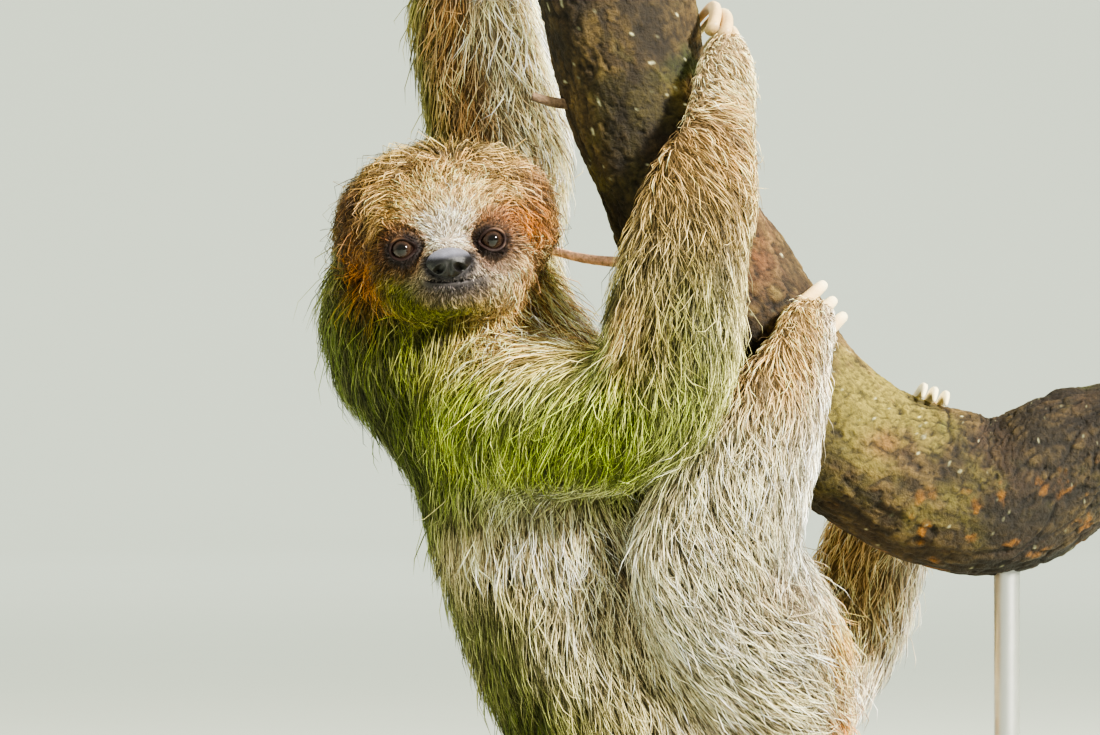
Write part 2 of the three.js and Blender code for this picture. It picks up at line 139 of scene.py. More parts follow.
HEAD_MIDDLE = np.array([-123.0, -28.0, 342.0])
HEAD_LEAN = math.radians(6)
HEAD_RIGHT = np.array([math.cos(HEAD_LEAN), 0, math.sin(HEAD_LEAN)])  # the viewer's right
HEAD_FORWARD = np.array([0.0, -1.0, 0.0])
HEAD_UP = np.array([-math.sin(HEAD_LEAN), 0, math.cos(HEAD_LEAN)])
EYE_OUT, EYE_FORWARD, EYE_UP, EYE_RADIUS = 20.2, 36.6, -7.0, 5.3
NOSE_FORWARD, NOSE_UP = 50.5, -15.2
NOSE_HALF = (10.2, 6.2, 6.7)
FACE_DOWN = 9.0  # how far the middle of the face is below the middle of the head


# ---- arithmetic ------------------------------------------------------------------------------------

def unit(v):
    """Vectors made one long."""
    return v / np.maximum(np.linalg.norm(v, axis=-1, keepdims=True), 1e-9)


def smoothstep(low, high, x):
    """0 at low, 1 at high and a smooth rise between them; low may be the larger."""
    t = np.clip((x - low) / (high - low), 0, 1)
    return t * t * (3 - 2 * t)


def mix(a, b, t):
    """A step from a to b, where t is 0 at a and 1 at b."""
    return a + (b - a) * t


def smooth_min(a, b, width):
    """The smaller of two distances, rounded over where they are nearly equal."""
    if width == 0:
        return np.minimum(a, b)
    h = np.maximum(width - np.abs(a - b), 0) / width
    return np.minimum(a, b) - h * h * width / 4


def noise(p, size, seed=0):
    """Smooth noise from -1 to 1 at points p, with features about size across."""
    q = p / size + seed * 17.317
    cell = np.floor(q)
    f = q - cell
    f = f * f * (3 - 2 * f)
    total = np.zeros(len(q))
    for corner in range(8):
        step = np.array([corner & 1, corner >> 1 & 1, corner >> 2 & 1], float)
        lattice = np.sin((cell + step) @ np.array([127.1, 311.7, 74.7])) * 43758.5453
        value = (lattice - np.floor(lattice)) * 2 - 1
        weight = np.prod(np.where(step > 0, f, 1 - f), axis=1)
        total += value * weight
    return total


THREE_LAYERS = 1 + 1 / 2 + 1 / 4  # the most that three layers of noise come to


def layered_noise(p, size, seed=0, layers=3):
    """Noise with features about size across, and finer and weaker ones over them."""
    total = sum(0.5**i * noise(p, size * 0.5**i, seed + i * 3) for i in range(layers))
    return total / THREE_LAYERS


def spread(stations, steps):
    """Catmull-Rom samples through stations."""
    s = np.asarray(stations, float)
    padded = np.vstack([s[0], s, s[-1]])
    out = []
    for i in range(len(s) - 1):
        a, b, c, d = padded[i : i + 4]
        for t in np.arange(steps) / steps:
            slope_in, slope_out = (c - a) / 2, (d - b) / 2
            t2, t3 = t * t, t**3
            out.append(
                b * (2 * t3 - 3 * t2 + 1) + slope_in * (t3 - 2 * t2 + t)
                + c * (3 * t2 - 2 * t3) + slope_out * (t3 - t2)
            )
    out.append(s[-1])
    return np.array(out)


def knots(table, u):
    """Values at the places u between the (place, value) pairs of a table."""
    return np.interp(u, [k[0] for k in table], [k[1] for k in table])


def nearest_on(samples, p):
    """Distance from the tube through samples, the place on it from 0 to 1, and the way along it."""
    best = np.full(len(p), 1e9)
    place = np.zeros(len(p))
    last = len(samples) - 1
    for i in range(last):
        a, b = samples[i], samples[i + 1]
        along = b[:3] - a[:3]
        t = np.clip((p - a[:3]) @ along / (along @ along), 0, 1)
        off = p - a[:3] - t[:, None] * along
        wide = a[3] + t * (b[3] - a[3])
        deep = a[4] + t * (b[4] - a[4])
        off[:, 1] *= wide / deep
        d = np.sqrt((off * off).sum(axis=1)) - wide
        closer = d < best
        best = np.where(closer, d, best)
        place = np.where(closer, (i + t) / last, place)
    return best, place


FAR = 26.0  # beyond this a length has no say in the skin's shape


def length_facts(chain, p):
    """Distance from a length's skin and the place along it; only a lower bound of both when it is far."""
    low, high = chain["box"]
    distance = np.linalg.norm(np.maximum(np.maximum(low - p, p - high), 0), axis=1)
    place = np.zeros(len(p))
    near = distance < FAR
    distance[near], place[near] = nearest_on(chain["inner"], p[near])
    return distance, place


def prepare(chain):
    """Works out a length's tube, the skin's tube inside it and the way its hair lies."""
    samples = spread(chain["stations"], SIDE_STEPS)
    u = np.linspace(0, 1, len(samples))
    coat = knots(chain["coat"], u)
    inner = samples.copy()
    inner[:, 3] -= coat
    inner[:, 4] -= coat
    start, end = samples[1, :3] - samples[0, :3], samples[-1, :3] - samples[-2, :3]
    # a round end reaches further than the flatter end of the solid, so its middle is set back
    inner[0, :3] += start / np.linalg.norm(start) * ((1 - END_DOME) * samples[0, 3])
    inner[-1, :3] -= end / np.linalg.norm(end) * ((1 - END_DOME) * samples[-1, 3])
    chain["outer"], chain["inner"] = samples, inner
    wide = inner[:, 3:].max(axis=1, keepdims=True)
    chain["box"] = (inner[:, :3] - wide).min(axis=0), (inner[:, :3] + wide).max(axis=0)
    chain["lie"] = unit(np.gradient(samples[:, :3], axis=0)) * chain["way"]


for one_chain in CHAINS.values():
    prepare(one_chain)
BRANCH_LINE = spread(BRANCH, SIDE_STEPS)


# ---- the head --------------------------------------------------------------------------------------

def head_local(p):
    """Points in the head's frame: how far right, forward and up they are from its middle."""
    q = p - HEAD_MIDDLE
    return np.stack([q @ HEAD_RIGHT, q @ HEAD_FORWARD, q @ HEAD_UP], axis=1)


def head_world(q):
    """Points of the head's frame in the row's frame."""
    q = np.atleast_2d(np.asarray(q, float))
    return HEAD_MIDDLE + q[:, :1] * HEAD_RIGHT + q[:, 1:2] * HEAD_FORWARD + q[:, 2:3] * HEAD_UP


def mirrored(q):
    """Points with those on the animal's right side of the head moved over to its left."""
    return np.stack([np.abs(q[:, 0]), q[:, 1], q[:, 2]], axis=1)


def oval(q, middle, half):
    """About the distance from the surface of an egg shape."""
    r = (q - np.array(middle, float)) / np.array(half, float)
    length = np.sqrt((r * r).sum(axis=1)) + 1e-9
    slope = np.sqrt(((r / np.array(half, float)) ** 2).sum(axis=1)) + 1e-9
    return (length - 1) * length / slope


def face_reach(q):
    """Distance from the line that runs straight ahead from the middle of the face."""
    return np.hypot(q[:, 0], q[:, 2] + FACE_DOWN)


def face_mask(q):
    """1 on the short hair of the face and 0 where the long coat of the head begins."""
    return smoothstep(39, 25, face_reach(q)) * smoothstep(2, 22, q[:, 1])


def from_eye(q):
    """The way to each point from the middle of the eyeball on its side, with both sides as one."""
    return mirrored(q) - np.array([EYE_OUT, EYE_FORWARD, EYE_UP])


def eye_distance(q):
    """Distance from the middle of the nearer eyeball."""
    return np.linalg.norm(from_eye(q), axis=1)


HEAD_REACH = 66.0  # nothing of the head is further from its middle
SKULL = ((0, -4, 3), (54, 43, 41))
HEAD_BULGES = [
    # middle, half-sizes, and over what distance each flows into those before it
    ((15, 16, -17), (26, 23, 25), 8),  # cheeks
    ((0, 25, 6), (31, 15, 14), 8),  # brow
    ((0, 33, -18), (18, 18, 14), 7),  # muzzle
    ((0, 41, -11), (8, 11, 8), 6),  # bridge of the nose
    ((0, 27, -30), (17, 16, 10), 5),  # chin
]
SOCKET_HALF, SOCKET_FORWARD, SOCKET_JOIN = (7.5, 7.5, 7), 3, 3
HEAD_COAT, FACE_COAT = 9.0, 1.6  # how deep the coat is over the skin of the head and of the face
LID_OVER, LID_JOIN = 1.4, 2.6  # how far the skin stands off the eyeball, and how it flows into the face


def head_distance(q):
    """Distance from the head's skin; only a lower bound when it is far."""
    distance = np.linalg.norm(q, axis=1) - HEAD_REACH
    near = distance < FAR
    distance[near] = near_head_distance(q[near])
    return distance


def near_head_distance(q):
    """Distance from the head's skin: the skull and its bulges, less the eye sockets and the coat's depth."""
    m = mirrored(q)
    d = oval(m, *SKULL)
    for middle, half, join in HEAD_BULGES:
        d = smooth_min(d, oval(m, middle, half), join)
    socket = oval(m, (EYE_OUT, EYE_FORWARD + SOCKET_FORWARD, EYE_UP), SOCKET_HALF)
    d = -smooth_min(-d, socket, SOCKET_JOIN)
    d = d + mix(HEAD_COAT, FACE_COAT, face_mask(q))
    # the skin swells over each eyeball; the lids are opened in it afterwards
    return smooth_min(d, eye_distance(q) - (EYE_RADIUS + LID_OVER), LID_JOIN)


JOINS = {"trunk": 0, "tail": 8}  # over what distance a length flows into those before it
JOIN, HEAD_JOIN = 9, 7  # the same for the other lengths and for the head


def flesh(p):
    """Signed distance of the skin, and for each length its distance and the place along it."""
    facts = {}
    total = np.full(len(p), np.inf)
    for name, chain in CHAINS.items():
        facts[name] = length_facts(chain, p)
        total = smooth_min(total, facts[name][0], JOINS.get(name, JOIN))
    q = head_local(p)
    facts["head"] = (head_distance(q), q)
    return smooth_min(total, facts["head"][0], HEAD_JOIN), facts


def flesh_normals(p, step=0.6):
    """Outward normals from the distances at four points round each point."""
    slopes = np.zeros((len(p), 3))
    for corner in ((1, -1, -1), (-1, -1, 1), (-1, 1, -1), (1, 1, 1)):
        way = np.array(corner, float)
        slopes += way * flesh(p + way * step)[0][:, None]
    return unit(slopes)


def settle(p, rounds=2):
    """Moves points onto the skin."""
    for _ in range(rounds):
        normals = flesh_normals(p)
        p = p - normals * np.clip(flesh(p)[0], -4, 4)[:, None]
    return p


# ---- meshes ----------------------------------------------------------------------------------------

def mesh_from(name, points, faces):
    """A mesh from points in millimetres and an array of faces that all have the same corners."""
    faces = np.asarray(faces, np.int32)
    mesh = bpy.data.meshes.new(name)
    mesh.vertices.add(len(points))
    mesh.vertices.foreach_set("co", (np.asarray(points) * MM).astype(np.float32).ravel())
    mesh.loops.add(faces.size)
    mesh.loops.foreach_set("vertex_index", faces.ravel())
    mesh.polygons.add(len(faces))
    corners = faces.shape[1]
    mesh.polygons.foreach_set("loop_start", np.arange(len(faces), dtype=np.int32) * corners)
    mesh.polygons.foreach_set("use_smooth", np.ones(len(faces), bool))
    mesh.update(calc_edges=True)
    mesh.validate()
    piece = bpy.data.objects.new(name, mesh)
    bpy.context.scene.collection.objects.link(piece)
    return piece


def paint(piece, colours):
    """Stores a colour for each vertex, which the materials read."""
    layer = piece.data.color_attributes.new("tone", "FLOAT_COLOR", "POINT")
    rgba = np.ones((len(colours), 4), np.float32)
    rgba[:, :3] = colours
    layer.data.foreach_set("color", rgba.ravel())


def points_of(mesh):
    """A mesh's vertices, in millimetres."""
    points = np.empty(len(mesh.vertices) * 3, np.float32)
    mesh.vertices.foreach_get("co", points)
    return points.reshape(-1, 3).astype(float) / MM


def move_to(mesh, points):
    """Puts a mesh's vertices at points in millimetres."""
    mesh.vertices.foreach_set("co", (points * MM).astype(np.float32).ravel())
    mesh.update()


def normals_of(mesh):
    """Normals at a mesh's vertices."""
    normals = np.empty(len(mesh.vertices) * 3, np.float32)
    mesh.vertex_normals.foreach_get("vector", normals)
    return normals.reshape(-1, 3).astype(float)


def surface_points(values):
    """Where the zero of a grid of distances is in each cell, as a mean over the cell's edges, and how
    many of those edges it crosses."""
    shape = np.array(values.shape)
    cells = tuple(shape - 1)
    total, count = np.zeros(cells + (3,)), np.zeros(cells)
    places = np.indices(cells).transpose(1, 2, 3, 0).astype(float)
    for axis in range(3):
        others = [k for k in range(3) if k != axis]
        for step in np.ndindex(2, 2):
            low = [slice(0, n - 1) for n in shape]
            offset = np.zeros(cells + (3,))
            for k, by in zip(others, step):
                low[k] = slice(by, shape[k] - 1 + by)
                offset[..., k] = by
            high = list(low)
            high[axis] = slice(1, shape[axis])
            a, b = values[tuple(low)], values[tuple(high)]
            crossed = (a < 0) != (b < 0)
            offset[..., axis] = np.where(crossed, a / np.where(crossed, a - b, 1), 0)
            total += np.where(crossed[..., None], places + offset, 0)
            count += crossed
    return total, count


def surface_quads(inside, index, axis):
    """A quad across each edge along an axis that has one end inside."""
    shape = inside.shape
    u, v = [k for k in range(3) if k != axis]
    low = [slice(1, n - 1) for n in shape]
    low[axis] = slice(0, shape[axis] - 1)
    high = list(low)
    high[axis] = slice(1, shape[axis])
    a, b = inside[tuple(low)], inside[tuple(high)]
    at = np.argwhere(a != b) + (np.arange(3) != axis)
    ring = []
    for back in ((1, 1), (0, 1), (0, 0), (1, 0)):
        spot = at.copy()
        spot[:, [u, v]] -= back
        ring.append(index[tuple(spot.T)])
    ring = np.stack(ring, axis=1)
    onward = a[a != b] if axis != 1 else ~a[a != b]
    return np.where(onward[:, None], ring, ring[:, ::-1])


def surface_net(values, origin, size):
    """Quads round the zero of a grid of distances, with a point in each cell that the surface crosses."""
    total, count = surface_points(values)
    active = count > 0
    index = np.full(count.shape, -1)
    index[active] = np.arange(active.sum())
    points = origin + size * (total[active] / count[active][:, None])
    return points, np.vstack([surface_quads(values < 0, index, axis) for axis in range(3)])


SKIN_LOW, SKIN_HIGH = np.array([-195.0, -122.0, 22.0]), np.array([122.0, 122.0, 560.0])
SKIN_COARSE, SKIN_FINE = 9.0, 3.0


def skin_grid():
    """Distances on the fine grid, worked out only where a coarse one shows that the skin is near."""
    coarse_shape = np.ceil((SKIN_HIGH - SKIN_LOW) / SKIN_COARSE).astype(int) + 1
    ratio = round(SKIN_COARSE / SKIN_FINE)
    shape = (coarse_shape - 1) * ratio + 1
    spots = np.indices(coarse_shape).reshape(3, -1).T
    coarse = flesh(SKIN_LOW + spots * SKIN_COARSE)[0].reshape(coarse_shape)
    fine_spots = np.indices(shape).reshape(3, -1).T
    base = np.minimum(np.round(fine_spots / ratio).astype(int), coarse_shape - 1)
    values = coarse[tuple(base.T)]
    near = np.abs(values) < SKIN_COARSE * 1.5
    values[near] = flesh(SKIN_LOW + fine_spots[near] * SKIN_FINE)[0]
    return values.reshape(shape)


MOUTH_UP, MOUTH_RIGHT, MOUTH_HALF, SMILE = -23.8, 2, 14, 2.0  # where it is, and how far its corners rise


def mouth_line(q):
    """Height above the line between the lips."""
    return q[:, 2] - MOUTH_UP - SMILE * ((q[:, 0] - MOUTH_RIGHT) / MOUTH_HALF) ** 2


def divide_face(skin, across, fine):
    """Splits the faces of a part of the face; the finest parts are the rims of the eyes and the mouth."""
    q = head_local(points_of(skin.data))
    chosen = (face_reach(q) < across) & (q[:, 1] > 16)
    if fine:
        mouth = (np.abs(mouth_line(q)) < 4.5) & (np.abs(q[:, 0]) < 20) & (q[:, 1] > 28)
        chosen &= mouth | (eye_distance(q) < 12)
    bm = bmesh.new()
    bm.from_mesh(skin.data)
    edges = [e for e in bm.edges if chosen[e.verts[0].index] and chosen[e.verts[1].index]]
    bmesh.ops.subdivide_edges(bm, edges=edges, cuts=1, use_grid_fill=True)
    bmesh.ops.triangulate(bm, faces=[f for f in bm.faces if len(f.verts) > 4])
    bm.to_mesh(skin.data)
    bm.free()


def mouth_share(q):
    """1 between the corners of the mouth, falling to 0 beyond them."""
    return smoothstep(16.5, 12, np.abs(q[:, 0] - MOUTH_RIGHT)) * smoothstep(24, 34, q[:, 1])


def mouth_depth(q):
    """How far the skin is pressed in along the mouth, in millimetres."""
    off = mouth_line(q)
    groove = 2.2 * np.exp(-((off / 0.55) ** 2))
    lips = -0.4 * np.exp(-(((off - 1.6) / 1.1) ** 2)) - 0.9 * np.exp(-(((off + 2.2) / 1.5) ** 2))
    return mouth_share(q) * (groove + lips)


EYE_SIDEWAYS = 0.26  # how far each eye's opening turns out to the side
LID_OUTER = 9.3  # the skin is opened this far from the middle of each eye, and the lids are built inside
OPENING = (4.5, 3.85)  # half the width and height between the lids
INNER_CORNER = 0.16  # how much further the opening reaches at its corner next to the nose
LID_PROFILE = [
    # share of the way in from the skin to the rim, distance from the eyeball's middle
    (0.22, 7.35), (0.42, 6.95), (0.55, 6.60), (0.68, 6.85), (0.82, 6.95), (0.93, 6.75), (1.0, 6.30),
]
LID_MARGIN = [(0.0, 5.85), (0.01, 5.48), (0.10, 5.42)]  # angle beyond the rim, distance from the middle
POCKET_STEPS = 7


def eye_frame(side):
    """The middle of an eyeball and the axes of its opening: outwards, across and up, in the head's frame."""
    middle = np.array([side * EYE_OUT, EYE_FORWARD, EYE_UP])
    out = unit(np.array([side * EYE_SIDEWAYS, 1.0, 0.02]))
    across = unit(np.cross(out, [0, 0, 1.0]))
    return middle, np.stack([out, across, np.cross(across, out)])


def rim_angle(turn, corner):
    """How far from the eye's axis the rim of the lids is, at a turn round that axis."""
    reach = 1 / np.hypot(np.cos(turn) / OPENING[0], np.sin(turn) / OPENING[1])
    reach = reach * (1 + INNER_CORNER * np.clip(np.cos(turn - corner), 0, 1) ** 8)
    return np.arcsin(np.clip(reach / EYE_RADIUS, 0, 0.985))


def edge_loop(bm, middle):
    """Vertices round the hole nearest to a point, in order."""
    edges = [e for e in bm.edges if e.is_boundary]
    here = Vector(middle * MM)
    start = min(edges, key=lambda e: (e.verts[0].co - here).length)
    loop = [start.verts[0], start.verts[1]]
    while True:
        last, before = loop[-1], loop[-2]
        onward = [e.other_vert(last) for e in last.link_edges if e.is_boundary]
        onward = [v for v in onward if v is not before]
        if onward[0] is loop[0]:
            return loop
        loop.append(onward[0])


def lid_rings(loop_points, side):
    """Rings of points from the edge of the hole in the skin over the lid and behind the eyeball."""
    middle, axes = eye_frame(side)
    rel = (head_local(loop_points) - middle) @ axes.T
    out, across, up = rel.T
    turn = np.unwrap(np.arctan2(up, across))
    even = np.linspace(turn[0], turn[0] + np.sign(turn[-1] - turn[0]) * 2 * math.pi, len(turn) + 1)[:-1]
    even += (turn - even).mean()
    from_axis = np.arctan2(np.hypot(across, up), out)
    reach = np.linalg.norm(rel, axis=1)
    corner = math.pi if (axes[1] * [side, 0, 0]).sum() > 0 else 0.0
    rings = []
    for share, radius in LID_PROFILE:
        ahead = mix(turn, even, share)
        angle = mix(from_axis, rim_angle(even, corner), share)
        rings.append((ahead, angle, mix(reach, radius, smoothstep(0, 0.5, np.full(len(turn), share)))))
    rim = rim_angle(even, corner)
    for more, radius in LID_MARGIN:
        rings.append((even, rim + more, np.full(len(turn), radius)))
    for step in range(1, POCKET_STEPS):
        angle = mix(rim + 0.1, math.pi, step / POCKET_STEPS)
        rings.append((even, angle, np.full(len(turn), LID_MARGIN[-1][1])))
    made = []
    for ahead, angle, radius in rings:
        flat = np.sin(angle) * radius
        local = np.stack([np.cos(angle) * radius, np.cos(ahead) * flat, np.sin(ahead) * flat], axis=1)
        made.append(head_world(local @ axes + middle))
    pole = head_world(middle - axes[0] * LID_MARGIN[-1][1])[0]
    return made, pole


def open_eyes(skin):
    """Cuts a hole in the skin before each eyeball and builds the lids and the pocket behind them."""
    bm = bmesh.new()
    bm.from_mesh(skin.data)
    q = head_local(points_of(skin.data))
    doomed = np.zeros(len(q), bool)
    for side in (-1, 1):
        middle, axes = eye_frame(side)
        rel = (q - middle) @ axes.T
        doomed |= (rel[:, 0] > -9) & (np.hypot(rel[:, 1], rel[:, 2]) < LID_OUTER) & (q[:, 1] > 20)
    bmesh.ops.delete(bm, geom=[v for v in bm.verts if doomed[v.index]], context="VERTS")
    for side in (-1, 1):
        middle, axes = eye_frame(side)
        loop = edge_loop(bm, head_world(middle)[0])
        points = np.array([v.co[:] for v in loop]) / MM
        for _ in range(4):
            points = (points + np.roll(points, 1, axis=0) + np.roll(points, -1, axis=0)) / 3
        points = settle(points, 1)
        for vertex, point in zip(loop, points):
            vertex.co = Vector(point * MM)
        rings, pole = lid_rings(points, side)
        previous = loop
        for ring in rings:
            current = [bm.verts.new(Vector(point * MM)) for point in ring]
            for i in range(len(loop)):
                j = (i + 1) % len(loop)
                bm.faces.new((previous[i], previous[j], current[j], current[i]))
            previous = current
        tip = bm.verts.new(Vector(pole * MM))
        for i in range(len(loop)):
            bm.faces.new((previous[i], previous[(i + 1) % len(loop)], tip))
    bmesh.ops.recalc_face_normals(bm, faces=bm.faces)
    bm.to_mesh(skin.data)
    bm.free()


def build_skin():
    """The skin: one closed surface, with lids round the eyes and a mouth."""
    points, quads = surface_net(skin_grid(), SKIN_LOW, SKIN_FINE)
    skin = mesh_from("skin", settle(points, 1), quads)
    for across, fine in ((44, False), (38, False), (38, True)):
        divide_face(skin, across, fine)
        points = points_of(skin.data)
        q = head_local(points)
        face = (face_reach(q) < 48) & (q[:, 1] > 12)
        points[face] = settle(points[face], 1)
        move_to(skin.data, points)
    points = points - normals_of(skin.data) * mouth_depth(head_local(points))[:, None]
    move_to(skin.data, points)
    open_eyes(skin)
    skin.data.polygons.foreach_set("use_smooth", np.full(len(skin.data.polygons), True))
    skin.data.update()
    return skin


# ---- markings: the same colours for the skin and for the coat -----------------------------------------

def linear(*srgb):
    """A colour's linear values from those a screen would be sent."""
    c = np.array(srgb, float)
    return np.where(c <= 0.04045, c / 12.92, ((c + 0.055) / 1.055) ** 2.4)


CREAM = linear(0.95, 0.87, 0.71)
WHITE = linear(0.98, 0.96, 0.91)
GREY_CREAM = linear(0.90, 0.86, 0.74)
TAN = linear(0.82, 0.65, 0.41)
OLIVE_TAN = linear(0.70, 0.59, 0.38)
BROWN = linear(0.62, 0.47, 0.33)
DARK_BROWN = linear(0.33, 0.24, 0.16)
THROAT = linear(0.97, 0.77, 0.57)
GREEN = linear(0.77, 0.81, 0.49)
BRIGHT_GREEN = linear(0.70, 0.80, 0.27)
OLIVE = linear(0.64, 0.62, 0.39)
DARK_GREEN = linear(0.36, 0.40, 0.20)
CHIN_GREEN = linear(0.48, 0.49, 0.09)
RUFOUS = linear(0.73, 0.46, 0.23)
ORANGE = linear(0.88, 0.56, 0.20)
FACE_GREY = linear(0.98, 0.90, 0.78) * 1.25
FOREHEAD = linear(0.92, 0.77, 0.55)
MUZZLE_GREY = linear(0.66, 0.62, 0.62)
LIP = linear(0.08, 0.07, 0.07)
LIP_GREY = linear(0.36, 0.34, 0.35)
LID = linear(0.13, 0.08, 0.07)
EYE_SKIN = linear(0.42, 0.27, 0.20)
CHEEK = linear(0.94, 0.84, 0.71)


def blob(values, centre, size):
    """1 at a centre, falling smoothly to 0 at a few sizes from it."""
    return np.exp(-sum(((v - c) / s) ** 2 for v, c, s in zip(values, centre, size)))


def tint(base, *layers):
    """A base colour with others laid over it in turn, each given as a colour and a weight for each point."""
    for colour, weight in layers:
        base = base + (colour - base) * np.clip(weight, 0, 1)[:, None]
    return base


def bare_colour(colour, p):
    """One colour at every point."""
    return np.tile(colour, (len(p), 1))


def fold(p):
    """1 in the fold between the belly and the near thigh, where the crease is darkened with painted shade."""
    x, y, z = p.T
    return 0.8 * blob((x + 0.2 * (z - 190), z), (-47, 190), (4, 26)) * smoothstep(10, -20, y)


def trunk_colours(p, n, blotch):
    """Cream flanks, a green cape over neck and shoulders, and dark green down the back, partly painted shade
    on this side away from the lamps.
    """
    x, y, z = p.T
    # the back faces away from the lamps, so the dark green laid on it is partly its colour and partly painted
    # shade
    back = smoothstep(-0.15, -0.75, n[:, 0])
    near = smoothstep(10, -20, y)
    cape = smoothstep(-8, 10, z - 227 - 0.09 * (x + 80) + 5 * blotch)  # the green over neck and shoulders
    belly = smoothstep(0.2, 0.9, n[:, 0]) * smoothstep(-70, -20, x)
    return tint(
        bare_colour(GREY_CREAM, p),
        (CREAM, 0.4 + 0.4 * blotch),
        (OLIVE, 0.12 + 0.2 * blotch + 0.6 * back),
        (OLIVE, 0.8 * blob((x, z), (-78, 128), (42, 26))),
        (DARK_GREEN, 0.8 * back + 0.75 * blob((x, z), (-88, 106), (46, 26))),
        (OLIVE, 0.5 * smoothstep(0.3, 0.9, n[:, 1])),
        (GREEN, cape * (0.85 + 0.3 * blotch)),
        (BRIGHT_GREEN, cape * (0.45 + 0.8 * blotch) * smoothstep(-70, -130, x)),
        # the cape darker on the back and towards the left: partly painted shade
        (DARK_GREEN, cape * (back * 0.95 + 0.35 * smoothstep(-90, -140, x))),
        # painted shade: dark green on the neck under the left of the head
        (DARK_GREEN, 0.75 * blob((x, z), (-138, 286), (24, 22)) * smoothstep(30, 0, y)),
        (TAN, 0.8 * belly * (1 - cape)),
        (WHITE, blob((x, z), (40, 150), (28, 45))),
        # painted light: a pale band on the flank under the near arm, lightened against the arm's shadow
        (CREAM * 1.3, 1.2 * blob((x, z), (-80, 209), (38, 15)) * near),
        # painted shade in the crease between the belly and the near thigh
        (DARK_BROWN, fold(p)),
    )


def right_arm_colours(p, n, blotch):
    """Green at the shoulder and elbow, tan along the forearm and cream at the wrist."""
    x, _, z = p.T
    colour = tint(
        bare_colour(GREY_CREAM, p),
        (TAN, smoothstep(300, 345, z) * (0.75 + 0.4 * blotch)),
        (CREAM, smoothstep(380, 412, z) * 0.4 + 0.25 * blotch),
        (OLIVE, smoothstep(392, 315, z) * (0.75 + 0.45 * blotch)),
        (GREEN, smoothstep(350, 280, z) * (0.85 + 0.35 * blotch)),
        (BRIGHT_GREEN, smoothstep(310, 276, z) * (0.45 + 0.8 * blotch)),
        (DARK_GREEN, 0.45 * blob((x, z), (-40, 262), (30, 16)) * smoothstep(-0.2, 0.6, blotch)),
        # painted light: lighter on the side that faces the lamps
        (CREAM, smoothstep(0.35, 0.9, n[:, 0]) * 0.3),
    )
    colour = colour * mix(1.0, 0.48, blob((x, z), (-25, 308), (25, 50)))[:, None]
    return tint(colour, (GREY_CREAM, smoothstep(244, 228, z) * 0.5))


def left_arm_colours(p, n, blotch):
    """Cream, lighter with painted light on the side towards the branch and the lamps, and tan to dark green
    on the outer side.
    """
    sideways = n[:, 0]
    return tint(
        bare_colour(CREAM, p),
        # painted light: the side facing the lamps made brighter than cream
        (CREAM * 1.25, smoothstep(0.1, 0.8, sideways)),
        (TAN, smoothstep(0.15, -0.3, sideways) * (0.7 + 0.5 * blotch)),
        (BROWN, blob((sideways,), (-0.3,), (0.2,)) * 0.6),
        (DARK_GREEN, smoothstep(-0.5, -0.9, sideways) * 0.85),
        (OLIVE, 0.6 * smoothstep(0.1, 0.8, n[:, 1])),
        # painted light: the throat's colour brightened here against the shade of the head and near arm
        (THROAT * 1.2, smoothstep(350, 325, p[:, 2]) * inward(n)),
    )


def right_leg_colours(p, n, blotch):
    """Cream, with a brown fold at the knee."""
    x, _, z = p.T
    return tint(
        bare_colour(GREY_CREAM, p),
        (CREAM, 0.45 + 0.5 * blotch),
        (WHITE, 0.35 * blob((x, z), (-5, 175), (35, 40))),
        (OLIVE, 0.16 + 0.25 * blotch),
        (TAN, smoothstep(240, 285, z) * 0.7),
        # painted light: whiter on the side that faces the lamps
        (WHITE, smoothstep(0.2, 0.9, n[:, 0]) * 0.5),
        (BROWN, 0.55 * blob((x, z), (22, 186), (20, 16))),
        # painted shade in the crease between the belly and the near thigh
        (DARK_BROWN, fold(p)),
    )


def left_leg_colours(p, n, blotch):
    """Cream and tan."""
    return tint(
        bare_colour(CREAM, p),
        (TAN, 0.5 + 0.5 * blotch),
        # painted light: whiter on the side that faces the lamps
        (WHITE, 0.6 * smoothstep(0.1, 0.9, n[:, 0])),
        (OLIVE, 0.4 * smoothstep(0.2, 0.9, n[:, 1])),
        (TAN, smoothstep(235, 250, p[:, 2]) * 0.8),
    )


def inward(n):
    """How far the skin faces the front of the animal or its near side."""
    return smoothstep(-0.7, 0.0, n[:, 0] - n[:, 1])


BODY_COLOURS = {
    "trunk": trunk_colours, "tail": trunk_colours, "right_arm": right_arm_colours,
    "left_arm": left_arm_colours, "right_leg": right_leg_colours, "left_leg": left_leg_colours,
}


def body_colours(p, n, name):
    """The colours of one length of the body, with those of the seat and the throat, which cross lengths; the
    throat is painted brighter, as painted light against the shade of the arm and head.
    """
    x, y, z = p.T
    colour = BODY_COLOURS[name](p, n, layered_noise(p, 30, 5))
    seat = smoothstep(30, 0, y)
    throat = 1.8 * blob((x, z), (-76, 306), (31, 22)) * inward(n) * smoothstep(270, 290, z)
    return tint(
        colour,
        (TAN, seat * blob((x, z), (47, 166), (9, 32))),
        (ORANGE, seat * 1.2 * blob((x, z), (54, 114), (10, 18))),
        # painted light: the throat's colour brightened against the shade the near arm and the head cast on it
        (THROAT * 1.45, throat),
    )


LID_SHIFT = [0.8, 0, 0.6]  # the dark ring lies this much nearer the nose, and lower, than the eye


